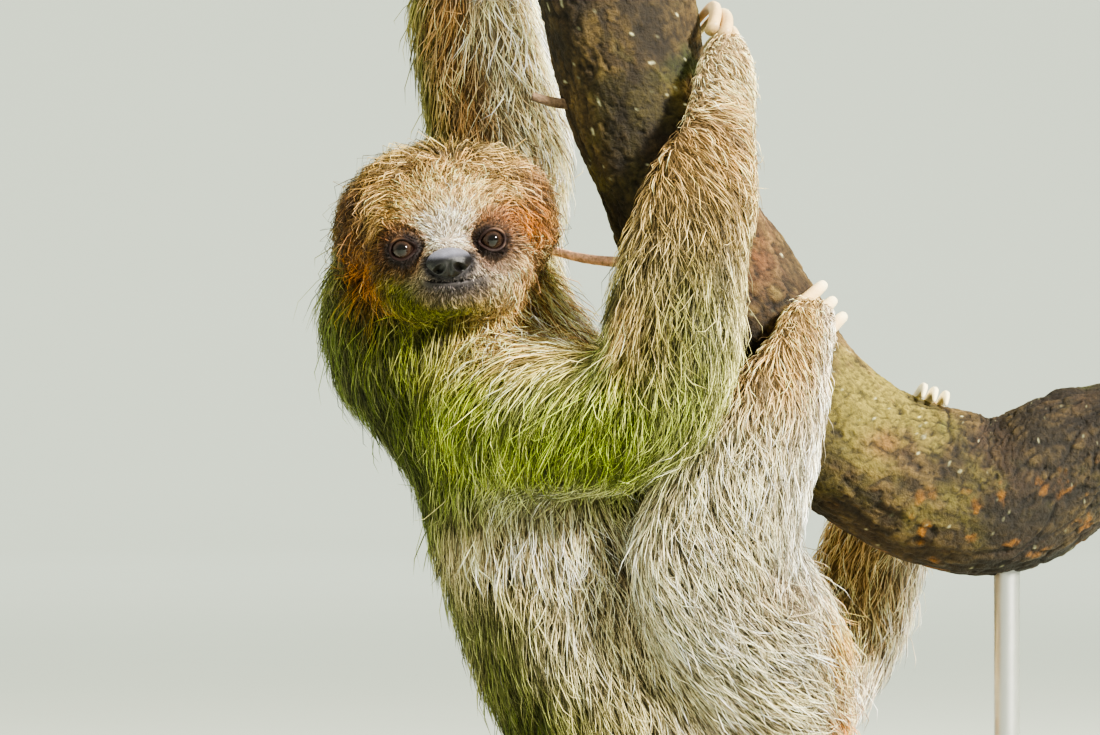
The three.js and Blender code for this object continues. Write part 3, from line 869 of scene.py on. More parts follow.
def head_colours(p, q):
    """The colours of the head, where r, f and u are how far right, forward and up a point is."""
    r, f, u = q.T
    face = face_mask(q)
    blotch = layered_noise(p, 12, 9)
    front = smoothstep(5, 20, f)
    side = smoothstep(-5, 12, f)
    green = blob((r, u), (-21, -24), (10, 11)) + blob((r, u), (-5, -37), (19, 7))
    off = mouth_line(q)
    lower_lip = smoothstep(-4.5, -2.5, off) * smoothstep(1.6, 0.6, off)
    lid = np.linalg.norm(from_eye(q) + LID_SHIFT, axis=1)
    pad = np.hypot(r / 11.0, (u - NOSE_UP) / 8.0)
    nose_rim = smoothstep(1.15, 0.95, pad) * smoothstep(34, 40, f) * smoothstep(-8, -12, u)
    return tint(
        bare_colour(OLIVE_TAN, p),
        (TAN, 0.5 + 0.6 * blotch),
        (BROWN, smoothstep(18, 36, np.abs(r + 2)) * (0.85 + 0.5 * blotch)),
        (DARK_BROWN, smoothstep(-19, -32, r) * (0.95 + 0.5 * blotch)),
        (DARK_BROWN, 0.4 * smoothstep(14, 34, u) * (1 + blotch)),
        (BROWN, 0.6 * blob((r, u), (2, 32), (26, 8)) * front),
        (OLIVE, smoothstep(10, -25, f) * 0.75),
        (OLIVE, smoothstep(24, 40, u) * 0.4),
        (DARK_GREEN, smoothstep(-36, -50, r) * 0.8 + smoothstep(44, 54, r) * 0.5),
        (FOREHEAD, blob((r, u), (0, 15), (22, 12)) * 1.1 * front),
        (TAN, blob((r, u), (-20, 4), (13, 8)) * 0.7 * face),
        (RUFOUS, blob((r, u), (33, 3), (8, 13)) * 1.15 * front),
        (RUFOUS, blob((r, u), (23, 3), (8, 4)) * 0.8 * face),
        # painted shade in the groove between the face and the hood on the left, and below the left of the
        # chin
        (DARK_BROWN, blob((r, u), (-33, -14), (6, 17)) * 0.85 * side),
        (DARK_BROWN, blob((r, u), (-26, -38), (14, 6)) * 0.7 * side),
        (ORANGE, blob((r, u), (-36, -16), (4.5, 17)) * (0.9 + 0.7 * blotch)),
        (ORANGE, blob((r, u), (-34, -37), (13, 6)) * 0.75),
        (CHEEK, blob((r, u), (22, -20), (14, 13)) * 1.3 * face),
        (THROAT, blob((r, u), (38, -24), (12, 18)) * 0.9),
        (FACE_GREY, blob((r, u), (0, -3), (12, 9)) * 1.3 * face),
        # the chin's green, partly its colour and partly painted shade under the chin
        (CHIN_GREEN, green * 1.1),
        (MUZZLE_GREY, blob((r, u), (2, -20), (17, 9)) * smoothstep(30, 40, f)),
        (LIP_GREY, blob((r, u), (1, -28), (13, 4)) * 0.8),
        (LIP_GREY, 0.85 * mouth_share(q) * lower_lip),
        (LIP, mouth_share(q) * smoothstep(1.4, 0.6, np.abs(off))),
        (EYE_SKIN, smoothstep(14.5, 10, lid) * 0.75),
        (LID, smoothstep(9.3, 7.3, lid + 0.8 * noise(q, 3.5, 12))),
        (LIP_GREY * 0.6, nose_rim),
    )


def markings(p, n, weights, q):
    """Linear colours at points p of the skin with normals n."""
    colour = weights[-1][:, None] * head_colours(p, q)
    for name, weight in zip(CHAINS, weights):
        colour += weight[:, None] * body_colours(p, n, name)
    return colour


# ---- the coat ----------------------------------------------------------------------------------------

DOWN, BACK, UP = np.array([0.0, 0.0, -1.0]), np.array([0.0, 1.0, 0.0]), np.array([0.0, 0.0, 1.0])
SWEEP = np.array([1.0, -0.2, 0.15])  # the hair of the near forearm sweeps round it this way
WHORL = np.array([8.0, 14.0, 40.0])  # in the head's frame: where the crown's long hair springs from
FACE_MIDDLE = np.array([0.0, 42.0, -9.0])  # and where the short hair of the face does
BLEND = 4.0  # how far the ways of two lengths of body mix where they meet
OWNERS = [*CHAINS, "head"]  # each point of the skin belongs to one of these


def head_lie(q):
    """The way the hair lies over the head: out from the nose on the face, and down from the crown."""
    radial = unit(q - FACE_MIDDLE)
    crown = unit(unit(q - WHORL) + np.array([0, -0.25, -0.6]))
    tilt = np.hypot(q[:, 0], q[:, 2] + 2)
    outer = smoothstep(22, 36, tilt) * smoothstep(-10, 6, q[:, 2])
    outer = np.maximum(outer, smoothstep(14, -6, q[:, 1]))
    lower = smoothstep(-4, -22, q[:, 2]) * smoothstep(26, 38, tilt)
    way = mix(radial, crown, outer[:, None])
    way = mix(way, unit(radial * 0.6 + np.array([0, -0.2, -1.0])), lower[:, None])
    away = from_eye(q)
    away[:, 0] *= np.sign(q[:, 0])
    way = mix(way, unit(away), (0.85 * smoothstep(14, 8.5, eye_distance(q)))[:, None])
    return way[:, :1] * HEAD_RIGHT + way[:, 1:2] * HEAD_FORWARD + way[:, 2:] * HEAD_UP


def at_place(samples, place):
    """Points at places from 0 to 1 along a row of samples."""
    u = np.linspace(0, 1, len(samples))
    return np.stack([np.interp(place, u, samples[:, k]) for k in range(3)], axis=1)


def lie_of_coat(n, facts, weights):
    """The way the hair lies at each point, along the skin."""
    way = weights[-1][:, None] * head_lie(facts["head"][1])
    for (name, chain), weight in zip(CHAINS.items(), weights):
        place = facts[name][1]
        along = at_place(chain["lie"], place) + knots(chain["sag"], place)[:, None] * DOWN
        if "sweep" in chain:
            along = along + knots(chain["sweep"], place)[:, None] * SWEEP
        way += weight[:, None] * unit(along)
    return unit(way - n * (way * n).sum(axis=1)[:, None])


def shares(facts, width):
    """How much of each length and of the head there is at each point."""
    distances = np.stack([facts[k][0] for k in OWNERS])
    weights = np.exp(-(distances - distances.min(axis=0)) / width)
    return weights / weights.sum(axis=0)


def head_hair(q):
    """Length of the head's hair and depth of its coat."""
    r, f, u = q.T
    length = mix(20.0, 7.0, face_mask(q))
    length = mix(length, 13.0, blob((r, u), (0, 20), (22, 10)) * smoothstep(5, 20, f))
    length = mix(length, 25.0, smoothstep(12, -6, f))
    length = mix(length, 2.2, smoothstep(17, 10, np.hypot(r, u + 17)) * smoothstep(30, 38, f))
    length = mix(length, 2.6, smoothstep(13, 8.5, eye_distance(q)))
    depth = mix(9.0, 1.5, face_mask(q))
    return length, depth * (1 + 0.1 * smoothstep(18, 36, u))


def hair_size(facts, weights):
    """Length of the hair and depth of the coat at each point of the skin."""
    length, depth = head_hair(facts["head"][1])
    length, depth = length * weights[-1], depth * weights[-1]
    for (name, chain), weight in zip(CHAINS.items(), weights):
        length += weight * knots(chain["hair"], facts[name][1])
        depth += weight * knots(chain["coat"], facts[name][1])
    return length, depth


def bare(q):
    """True where no hair grows: lids, lips and the rim of the nose."""
    r, f, u = q.T
    mouth = (np.abs(mouth_line(q)) < 1.1) & (mouth_share(q) > 0.2)
    nose = ((r / 9.5) ** 2 + ((u - NOSE_UP) / 6.4) ** 2 < 1) & (f > 38)
    return (eye_distance(q) < 6.8) | mouth | nose


COAT_PIECES = {
    # name: (strands, spans in each, half-width in mm, how untidy, height of tips, share of dark strands)
    "coat_head": (12300, 3, 0.18, 1.5, 0.55, 0.60),
    "coat_face": (14500, 2, 0.15, 1.4, 1.0, 0.46),
    "coat_neck": (9500, 3, 0.21, 1.1, 1.0, 0.45),
    "coat_flank_near": (12300, 3, 0.22, 1.0, 1.0, 0.36),
    "coat_flank_far": (7500, 3, 0.33, 1.0, 1.0, 0.35),
    "coat_right_arm": (12300, 3, 0.20, 1.1, 1.0, 0.55),
    "coat_left_arm": (7800, 3, 0.25, 1.4, 1.0, 0.18),
    "coat_right_leg": (12300, 3, 0.21, 1.1, 1.0, 0.38),
    "coat_left_leg": (5500, 3, 0.22, 1.4, 1.0, 0.25),
    "coat_hands": (8000, 2, 0.20, 1.0, 1.0, 0.35),
}
HAND_PLACE, NECK_PLACE = 0.76, 0.3  # where the hands and feet begin along a limb, and the neck ends
FACE_EDGE, NEAR_SIDE = 0.35, 8.0  # the face mask at the edge of coat_face, and y between the flanks
SPARE = 1.25  # roots tried for each strand wanted, as some fall where there is no hair


def piece_of(p, owner, place, q):
    """The coat piece that each root belongs to, as a place in the list of pieces."""
    names = list(COAT_PIECES)
    pieces = np.empty(len(p), int)
    for i, name in enumerate(OWNERS):
        if name == "head":
            found = np.where(face_mask(q) > FACE_EDGE, names.index("coat_face"), names.index("coat_head"))
        elif name == "trunk":
            near, far = names.index("coat_flank_near"), names.index("coat_flank_far")
            found = np.where(p[:, 1] < NEAR_SIDE, near, far)
            found[place < NECK_PLACE] = names.index("coat_neck")
        elif name == "tail":
            found = np.full(len(p), names.index("coat_flank_far"))
        else:
            found = np.where(place > HAND_PLACE, names.index("coat_hands"), names.index("coat_" + name))
        pieces = np.where(owner == i, found, pieces)
    return pieces


def survey(skin):
    """Everything about the skin's points that the coat and the colours need."""
    p, n = points_of(skin.data), normals_of(skin.data)
    q = head_local(p)
    _, facts = flesh(p)
    weights = shares(facts, BLEND)
    length, depth = hair_size(facts, weights)
    owner = np.argmax(weights, axis=0)
    place = np.zeros(len(p))
    for i, name in enumerate(CHAINS):
        place = np.where(owner == i, facts[name][1], place)
    return {
        "p": p, "n": n, "q": q, "way": lie_of_coat(n, facts, weights), "length": length, "depth": depth,
        "colour": markings(p, n, weights, q), "owner": owner, "place": place,
    }


def triangles_of(mesh):
    """The corners of each triangle of a mesh."""
    mesh.calc_loop_triangles()
    corners = np.empty(len(mesh.loop_triangles) * 3, np.int32)
    mesh.loop_triangles.foreach_get("vertices", corners)
    return corners.reshape(-1, 3)


def pick_roots(known, triangles, mine, count):
    """Facts at random points spread evenly by area over the triangles of one piece."""
    corners = triangles[mine]
    a, b, c = (known["p"][corners[:, k]] for k in range(3))
    areas = np.linalg.norm(np.cross(b - a, c - a), axis=1)
    chosen = corners[RANDOM.choice(len(areas), size=count, p=areas / areas.sum())]
    s, t = RANDOM.random(count), RANDOM.random(count)
    s, t = np.where(s + t > 1, 1 - s, s), np.where(s + t > 1, 1 - t, t)
    shares_of = np.stack([1 - s - t, s, t], axis=1)
    roots = {}
    for key, values in known.items():
        part = shares_of if values.ndim == 1 else shares_of[..., None]
        roots[key] = (values[chosen] * part).sum(axis=1)
    roots["owner"] = known["owner"][chosen[:, 0]]
    roots["n"], roots["way"] = unit(roots["n"]), unit(roots["way"])
    return roots


def nearest_skin(tree, points):
    """The nearest points of the skin and its normals there, in millimetres."""
    found = [tree.find_nearest(point)[:2] for point in (points * MM).tolist()]
    spots = np.array([f[0][:] for f in found]) / MM
    normals = np.array([f[1][:] for f in found])
    return spots, normals


RISE = {3: (0.50, 0.85, 1.0), 2: (0.7, 1.0)}  # share of its full height a strand has after each span
STRAYS, STRAY_HEIGHT, STRAY_BEND = 0.06, (1.2, 2.1), 2.2  # how many stand out of the coat, and how far
ROOT_DEPTH = 0.7  # how far a root is under the skin
LONG = 25.0  # hair at least this long is wholly loose
LAYERS = (0.25, 1.15)  # share of the coat's depth that the lowest and the highest strands reach
DROOP, HANG = 0.22, 0.75  # how much loose hair turns down, and how far it hangs off skin that faces down


def strand_lines(roots, length, layer, tree, spans, untidy, tips):
    """Middle lines of strands: they rise from the skin, then lie along it, and hang where it faces down."""
    p, n, way = roots["p"], roots["n"], roots["way"]
    count = len(p)
    height = roots["depth"] * mix(*LAYERS, layer)
    stray = RANDOM.random(count) < STRAYS
    height[stray] *= RANDOM.uniform(*STRAY_HEIGHT, stray.sum())
    swing = untidy * np.radians(RANDOM.normal(0, 12, count) + 10 * noise(p, 18, 41) + 11 * noise(p, 5, 44))
    bend = untidy * np.radians(RANDOM.normal(0, 13, count) + 9 * noise(p, 11, 47))
    bend[stray] *= STRAY_BEND
    loose = np.clip(length / LONG, 0, 1)
    line = np.empty((count, spans + 1, 3))
    line[:, 0] = p - n * ROOT_DEPTH
    here, heading = p.copy(), way
    for k in range(spans):
        t = (k + 0.5) / spans
        side = np.cross(n, heading)
        angle = swing if k == 0 else bend / (spans - 1) * 1.6
        heading = unit(heading * np.cos(angle)[:, None] + side * np.sin(angle)[:, None])
        heading = unit(heading + DOWN * (DROOP * loose * t)[:, None])
        there = here + heading * (length / spans)[:, None]
        spots, normals = nearest_skin(tree, there)
        above = ((there - spots) * normals).sum(axis=1)
        wanted = height * RISE[spans][k] * (tips if k == spans - 1 else 1.0)
        under = HANG * np.clip(-normals[:, 2] - 0.15, 0, 1) * loose
        target = np.where(above > wanted, mix(wanted, above, under), wanted)
        there = spots + normals * target[:, None]
        line[:, k + 1] = there
        here, n = there, normals
        heading = unit(heading - n * (heading * n).sum(axis=1)[:, None])
    return line


LOCK = 7  # strands in a lock
LOCK_PULL = {3: 0.6, 2: 0.4}  # how strongly the strands of a lock are drawn together
PULLS = (0.2, 1.0)  # and how much that varies from strand to strand


def gather(line, p, strength):
    """Draws strands together into locks, towards a strand picked here and there."""
    count = len(p)
    picked = RANDOM.choice(count, size=count // LOCK, replace=False)
    tree = kdtree.KDTree(len(picked))
    for i, k in enumerate(picked):
        tree.insert(p[k], i)
    tree.balance()
    lead = picked[np.array([tree.find(point)[1] for point in p])]
    spans = line.shape[1] - 1
    offset = p - p[lead]
    pull = strength * RANDOM.uniform(*PULLS, count)
    for k in range(1, spans + 1):
        t = k / spans
        target = line[lead, k] + offset * (1 - 0.75 * t)
        line[:, k] = mix(line[:, k], target, (pull * t**1.2)[:, None])
    return line


BARK_GAP, ROOT_GAP = 1.2, 0.3  # how far strands and their roots stay off the branch


def keep_off_branch(line):
    """Pushes the outer points of strands out of the branch."""
    for k in range(1, line.shape[1]):
        away, place = nearest_on(BRANCH_LINE, line[:, k])
        out = unit(line[:, k] - at_place(BRANCH_LINE, place))
        line[:, k] += out * np.clip(BARK_GAP - away, 0, 9)[:, None]
    return line


WIDTHS = {3: (0.75, 1.0, 0.75), 2: (0.85, 0.9)}  # share of its full width a strand has at each ring
PATCH = 0.003  # how wide each strand's patch of the map is


def strand_faces(spans):
    """Triangles of one closed three-sided strand: its foot, its sides and its tip."""
    faces = [(0, 2, 1)]
    for a in range(3 * (spans - 1)):
        b = a + 1 if a % 3 < 2 else a - 2
        faces += [(a, b, b + 3), (a, b + 3, a + 3)]
    top = 3 * (spans - 1)
    faces += [(top + j, top + (j + 1) % 3, top + 3) for j in range(3)]
    return np.array(faces)


def strand_mesh(name, line, n, half_width, colours, patches):
    """Closed three-sided strands, in one mesh, with a colour for each ring of each strand."""
    count, spans = len(line), line.shape[1] - 1
    tangent = unit(np.gradient(line, axis=1))
    side = unit(np.cross(tangent, n[:, None, :]))
    up = np.cross(side, tangent)
    per = spans * 3 + 1
    points = np.empty((count, per, 3))
    for k in range(spans):
        radius = (half_width * WIDTHS[spans][k])[:, None]
        for j in range(3):
            angle = math.pi / 2 + j * 2 * math.pi / 3
            way = side[:, k] * math.cos(angle) + up[:, k] * math.sin(angle)
            points[:, k * 3 + j] = line[:, k] + way * radius
    points[:, -1] = line[:, -1]
    ring_of = np.append(np.repeat(np.arange(spans), 3), spans)
    faces = strand_faces(spans)
    every = (faces[None] + (np.arange(count) * per)[:, None, None]).reshape(-1, 3)
    piece = mesh_from(name, points.reshape(-1, 3), every)
    paint(piece, colours[:, ring_of].reshape(-1, 3))
    place_on_map(piece, patches, spans, faces.ravel())
    return piece


def place_on_map(piece, patches, spans, corner):
    """Gives each strand its own small patch of the map that colours are baked on."""
    along = np.append(np.repeat(np.arange(spans), 3) / spans, 1.0) - 0.5
    round_it = np.append(np.tile(np.arange(3), spans) / 3, 0.33) - 0.33
    uv = np.empty((len(patches), len(corner), 2), np.float32)
    uv[:, :, 0] = patches[:, 0, None] + along[corner] * PATCH
    uv[:, :, 1] = patches[:, 1, None] + round_it[corner] * PATCH
    piece.data.uv_layers.new(name="OFBake").uv.foreach_set("vector", uv.ravel())


def unwrap(roots):
    """Places on an unwrap of the skin: along a length and round it, or over the head by angles."""
    p, q, owner, place = roots["p"], roots["q"], roots["owner"], roots["place"]
    uv = np.zeros((len(p), 2))
    limbs = [i for i, name in enumerate(OWNERS) if name.endswith(("arm", "leg"))]
    for i, name in enumerate(OWNERS):
        mine = owner == i
        if name == "head":
            r, f, u = q[mine].T
            uv[mine, 0] = np.arctan2(r, u) / (2 * math.pi) + 0.5
            uv[mine, 1] = np.arctan2(np.hypot(r, u), f) / math.pi
            continue
        off = p[mine] - at_place(CHAINS[name]["outer"], place[mine])
        uv[mine, 0] = place[mine]
        uv[mine, 1] = np.arctan2(off[:, 1], off[:, 0]) / (2 * math.pi) + 0.5
        if name == "tail":
            uv[mine, 0] = 1.1 + 0.1 * place[mine]
        elif i in limbs and place[mine].min(initial=1) > HAND_PLACE - 0.1:
            uv[mine, 0] += limbs.index(i) * 0.3
    low, high = uv.min(axis=0), uv.max(axis=0)
    return 0.01 + 0.98 * (uv - low) / np.maximum(high - low, 1e-6)


DARK_SHADES, LIGHT_SHADES = (0.16, 0.5), (0.75, 1.55)  # times the skin's colour there
PALE_SHARE = 0.3  # how many of the light strands are bleached
VIVID = 1.18  # how much stronger the strands' colours are than the skin's
BRIGHTEST = 0.94
ALONG_STRAND = ([0, 0.45, 1], [0.16, 0.90, 1.35])  # places, and how light a strand is there
LENGTHS, THICKNESSES = (0.72, 1.22), (0.65, 1.35)  # times the usual length and half-width


def strand_colours(roots, spans, layer, dark_share):
    """A colour for each ring of each strand: dark at the root, pale at the tip, and darker lower down in the
    coat as painted shade.
    """
    count = len(layer)
    dark = RANDOM.random(count) < dark_share
    shade = np.where(dark, RANDOM.uniform(*DARK_SHADES, count), RANDOM.uniform(*LIGHT_SHADES, count))
    # painted shade and light: strands low in the coat darkened, the highest lightened
    shade = shade * mix(0.6, 1.2, layer)
    pale = ~dark & (RANDOM.random(count) < PALE_SHARE)
    base = roots["colour"]
    grey = base.mean(axis=1, keepdims=True)
    base = np.maximum(mix(grey, base, VIVID), 0.004)
    bleached = mix(base, CREAM * grey * 2.1, 0.35) * 1.25
    base = np.where(pale[:, None], bleached, base)
    base = np.where(dark[:, None], mix(base, DARK_BROWN, 0.3), base) * shade[:, None]
    along = np.interp(np.linspace(0, 1, spans + 1), *ALONG_STRAND)
    return np.clip(base[:, None, :] * along[None, :, None], 0, BRIGHTEST)


def grow_piece(name, roots, tree, spans, half_width, untidy, tips, dark_share):
    """One piece of the coat, with a strand from each root."""
    count = len(roots["p"])
    length = roots["length"] * RANDOM.uniform(*LENGTHS, count)
    layer = RANDOM.random(count)
    line = strand_lines(roots, length, layer, tree, spans, untidy, tips)
    line = gather(line, roots["p"], LOCK_PULL[spans])
    line = keep_off_branch(line)
    colours = strand_colours(roots, spans, layer, dark_share)
    width = half_width * RANDOM.uniform(*THICKNESSES, count)
    return strand_mesh(name, line, roots["n"], width, colours, unwrap(roots))


def build_coat(skin, known):
    """All the pieces of the coat."""
    triangles = triangles_of(skin.data)
    tree = BVHTree.FromPolygons(points_of(skin.data) * MM, triangles.tolist())
    centre = triangles[:, 0]
    pieces = piece_of(*(known[k][centre] for k in ("p", "owner", "place", "q")))
    made = []
    for i, (name, (count, *style)) in enumerate(COAT_PIECES.items()):
        roots = pick_roots(known, triangles, pieces == i, round(count * SPARE))
        away, _ = nearest_on(BRANCH_LINE, roots["p"])
        good = np.flatnonzero((away > ROOT_GAP) & ~bare(roots["q"]))[:count]
        roots = {key: values[good] for key, values in roots.items()}
        made.append(grow_piece(name, roots, tree, *style))
    return made


# ---- eyes, nose and claws ------------------------------------------------------------------------------

def loft(name, rings, start, end):
    """A closed surface through rings of points, drawn to a point at each end."""
    rings = np.asarray(rings, float)
    count, sides, _ = rings.shape
    points = np.vstack([rings.reshape(-1, 3), [start], [end]])
    first, last = len(points) - 2, len(points) - 1
    faces = []
    k = np.arange(sides)
    after = (k + 1) % sides
    for i in range(count - 1):
        a, b = i * sides, (i + 1) * sides
        faces.append(np.stack([a + k, a + after, b + after], axis=1))
        faces.append(np.stack([a + k, b + after, b + k], axis=1))
    faces.append(np.stack([after, k, np.full(sides, first)], axis=1))
    top = (count - 1) * sides
    faces.append(np.stack([top + k, top + after, np.full(sides, last)], axis=1))
    return mesh_from(name, points, np.vstack(faces)), points


def full_turn(sides):
    """Angles spread evenly round a ring."""
    return np.linspace(0, 2 * math.pi, sides, endpoint=False)


def ball_grid(rings, sides):
    """Rings of points on a ball of radius 1 round +X, without its poles."""
    angle = np.linspace(0, math.pi, rings + 2)[1:-1]
    turn = full_turn(sides)
    ring = np.empty((rings, sides, 3))
    ring[..., 0] = np.cos(angle)[:, None]
    ring[..., 1] = np.sin(angle)[:, None] * np.cos(turn)
    ring[..., 2] = np.sin(angle)[:, None] * np.sin(turn)
    return ring


PUPIL, IRIS = 0.40, 0.92  # angles from the middle of the eye to the edges of the pupil and the iris
CORNEA = 0.35  # how far the clear front of the eye stands out
EYE_GAP = 0.04  # how much smaller the eyeball is than the pocket behind the lids
EYE_GRID, NOSE_GRID, CLAW_GRID, TWIG_GRID = (70, 96), (90, 128), (30, 22), (60, 26)  # rings, points in each
IRIS_INNER = linear(0.14, 0.10, 0.08)
IRIS_OUTER = linear(0.24, 0.18, 0.14)
PUPIL_BLACK = linear(0.035, 0.025, 0.02)
EYE_WHITE = linear(0.13, 0.085, 0.07)


def eye_colours(angle, turn):
    """Pupil, streaked iris with a dark rim, and the dark skin beyond, by angle from the eye's middle."""
    streak = 0.5 + 0.5 * np.sin(31 * turn + 5 * np.sin(7 * turn)) * np.sin(17 * turn + 1)
    colour = mix(IRIS_INNER, IRIS_OUTER, (smoothstep(PUPIL, IRIS, angle) * (0.5 + 0.5 * streak))[:, None])
    colour = mix(PUPIL_BLACK, colour, smoothstep(PUPIL - 0.07, PUPIL + 0.1, angle)[:, None])
    return tint(
        colour,
        (PUPIL_BLACK, 0.8 * blob((angle,), (IRIS,), (0.10,))),
        (EYE_WHITE, smoothstep(IRIS, IRIS + 0.12, angle)),
    )


def build_eye(name, side):
    """An eyeball, a little raised before its iris; side is 1 for the animal's left and -1 for its right."""
    middle, _ = eye_frame(side)
    gaze = unit(np.array([side * 0.12, 1.0, 0.03]))
    across = unit(np.cross(gaze, UP))
    axes = np.stack([gaze, across, np.cross(across, gaze)])
    grid = ball_grid(*EYE_GRID)
    radius = EYE_RADIUS + CORNEA * smoothstep(0.9, 0.2, np.arccos(grid[..., 0])) - EYE_GAP
    rings = head_world((grid * radius[..., None]).reshape(-1, 3) @ axes + middle).reshape(grid.shape)
    front = head_world(middle + gaze * (EYE_RADIUS + CORNEA))[0]
    eye, points = loft(name, rings, front, head_world(middle - gaze * EYE_RADIUS)[0])
    rel = (head_local(points) - middle) @ axes.T
    angle = np.arccos(np.clip(unit(rel)[:, 0], -1, 1))
    paint(eye, eye_colours(angle, np.arctan2(rel[:, 2], rel[:, 1])))
    return eye


NOSTRIL_AT, NOSTRIL_SIZE, NOSTRIL_DEPTH = (5.0, -3.0), (2.7, 2.0), 5.0
# the top of the nose pad is painted lighter grey: a painted sheen of the light from above
NOSE_TOP_SHEEN = linear(0.42, 0.42, 0.46)
NOSE_FRONT = linear(0.075, 0.07, 0.075)
NOSTRIL_BLACK = linear(0.04, 0.03, 0.03)


def nostril_reach(across, up):
    """Distance from the middle of the nearer nostril, in shares of its size."""
    across = np.abs(across) - NOSTRIL_AT[0]
    return np.hypot(across / NOSTRIL_SIZE[0], (up - NOSTRIL_AT[1] + 0.35 * across) / NOSTRIL_SIZE[1])


def build_nose():
    """The bare pad of the nose: wide above and narrow below, with two nostrils and a groove between."""
    grid = ball_grid(*NOSE_GRID)
    f, r, u = np.moveaxis(grid, -1, 0)
    local = np.stack([r * NOSE_HALF[0], f * NOSE_HALF[1], u * NOSE_HALF[2]], axis=-1)
    local[..., 0] *= mix(0.80, 1.02, smoothstep(-1.0, 0.1, u))
    across, up = local[..., 0], local[..., 2]
    front = smoothstep(-0.2, 0.5, f)
    wing = blob((np.abs(across), up), (6.6, -1.6), (2.6, 2.8))
    brow = blob((across, up), (0, 1.6), (8, 1.6))
    groove = np.exp(-((across / 0.8) ** 2)) * smoothstep(1.0, -3.0, up)
    reach = nostril_reach(across, up)
    push = 0.9 * wing + 0.7 * brow - 0.9 * groove - NOSTRIL_DEPTH * np.clip(1 - reach / 1.2, 0, 1) ** 1.2
    push += 0.35 * blob((reach,), (1.35,), (0.35,)) - 0.020 * across**2 - 0.9 * smoothstep(2.5, 6.0, up)
    local[..., 1] += push * front
    middle = np.array([0, NOSE_FORWARD, NOSE_UP])
    flat = local.reshape(-1, 3)
    flat = flat + unit(flat) * (layered_noise(flat, 0.9, 61) * 0.09)[:, None]
    rings = head_world(flat + middle).reshape(local.shape)
    nose, points = loft("nose_pad", rings, rings[0].mean(axis=0), rings[-1].mean(axis=0))
    q = head_local(points) - middle
    # painted sheen: the pad's top lighter than its dark front
    colour = mix(NOSE_FRONT, NOSE_TOP_SHEEN, smoothstep(1.0, 4.5, q[:, 2])[:, None])
    colour = mix(colour, NOSTRIL_BLACK, smoothstep(1.25, 0.75, nostril_reach(q[:, 0], q[:, 2]))[:, None])
    paint(nose, colour * (1 + 0.25 * layered_noise(points, 2.2, 63))[:, None])
    return nose


CLAW_TIP, CLAW_FLAT, CLAW_TAPER = 0.7, 0.8, 0.5
CLAWS = {
    # places on the branch (x, z, how much further off it at the root), degrees round it from root to
    # tip, how the arc stands off it: how far towards the root's side, and off the bark at the root,
    # the middle and the tip, and the half-width of the root
    "right_hand": ([(-40, 425, 0), (-39, 421, 6), (-37, 413, 8)], -36, 40, 11, (13, 3, 1), 3.5),
    "left_hand": ([(-65, 534, 0), (-63, 526, 0), (-61, 518, 0)], 106, 26, 6, (14, 3, 1), 3.5),
    "right_foot": ([(19, 295, 0), (25, 290, 0), (30, 282, 0)], -58, 30, 2, (7, 1.2, 0.4), 4.4),
    "left_foot": ([(78, 232, 0), (86, 230, 0), (94, 228, 0)], 74, -16, 1, (7, 4, 1), 3.5),
}
IVORY = linear(0.88, 0.83, 0.66)
CLAW_TIP_COLOUR = linear(0.82, 0.77, 0.60)
CLAW_BASE = linear(0.74, 0.63, 0.44)
CLAW_ORANGE = linear(0.84, 0.60, 0.34)
ORANGE_CLAW = 0.75  # how strongly one claw of the near hand is stained


def along_branch(shares):
    """Rows of the branch (x, y, z, half-width, half-depth) at shares of its length."""
    u = np.linspace(0, 1, len(BRANCH_LINE))
    return np.stack([np.interp(shares, u, column) for column in BRANCH_LINE.T], axis=1)


def claw_arc(place, start, stop, rise, lift):
    """The middle line of a claw that reaches round the branch near a place on it."""
    x, z, extra = place
    shares = np.linspace(0, 1, 401)
    rows = along_branch(shares)
    share = shares[np.argmin(np.hypot(rows[:, 0] - x, rows[:, 2] - z))]
    before, here, after = along_branch([share - 0.004, share, share + 0.004])
    down = unit(after[:3] - before[:3])
    outward = np.cross(down, BACK)
    t = np.linspace(0, 1, CLAW_GRID[0])
    angle = np.radians(start + (stop - start) * t)
    arch = np.sin(math.pi * t)
    off = lift[0] * (1 - t) ** 2 + lift[1] * arch + lift[2] * t + extra * (1 - t)
    out, back = (here[3] + off) * np.cos(angle), (here[3] + off) * np.sin(angle)
    return here[:3] + outward * out[:, None] + BACK * back[:, None] - down * (rise * arch)[:, None]


def build_claw(name, arc, root, orange):
    """A claw with a keel, tapering along its arc from the half-width of its root."""
    rings, sides = CLAW_GRID
    tangent = unit(np.gradient(arc, axis=0))
    sideways = unit(np.cross(tangent[0], arc[-1] - arc[0]))
    t = np.linspace(0, 1, rings)
    size = CLAW_TIP + (root - CLAW_TIP) * (1 - t) ** CLAW_TAPER
    turn = full_turn(sides)
    keel = 1 + 0.10 * np.cos(turn - math.pi / 2) ** 4 - 0.05 * np.cos(4 * turn)
    grid = np.empty((rings, sides, 3))
    for i in range(rings):
        up = unit(np.cross(tangent[i], sideways))
        wave = 1 + 0.015 * math.sin(t[i] * 60)
        flat = np.cos(turn)[:, None] * sideways * CLAW_FLAT + np.sin(turn)[:, None] * up
        grid[i] = arc[i] + flat * (size[i] * wave * keel)[:, None]
    claw, points = loft(name, grid, arc[0], arc[-1] + tangent[-1] * CLAW_TIP * 0.8)
    share = np.append(np.repeat(t, sides), [0, 1])
    colour = tint(
        bare_colour(CLAW_BASE, points),
        (IVORY, smoothstep(0.15, 0.5, share)),
        (CLAW_TIP_COLOUR, smoothstep(0.75, 1.0, share)),
        (CLAW_ORANGE, orange * smoothstep(0.15, 0.6, share)),
    )
    colour = colour * (1 + 0.10 * layered_noise(points, 2.5, 71))[:, None]
    paint(claw, np.clip(colour, 0, 1))
    return claw


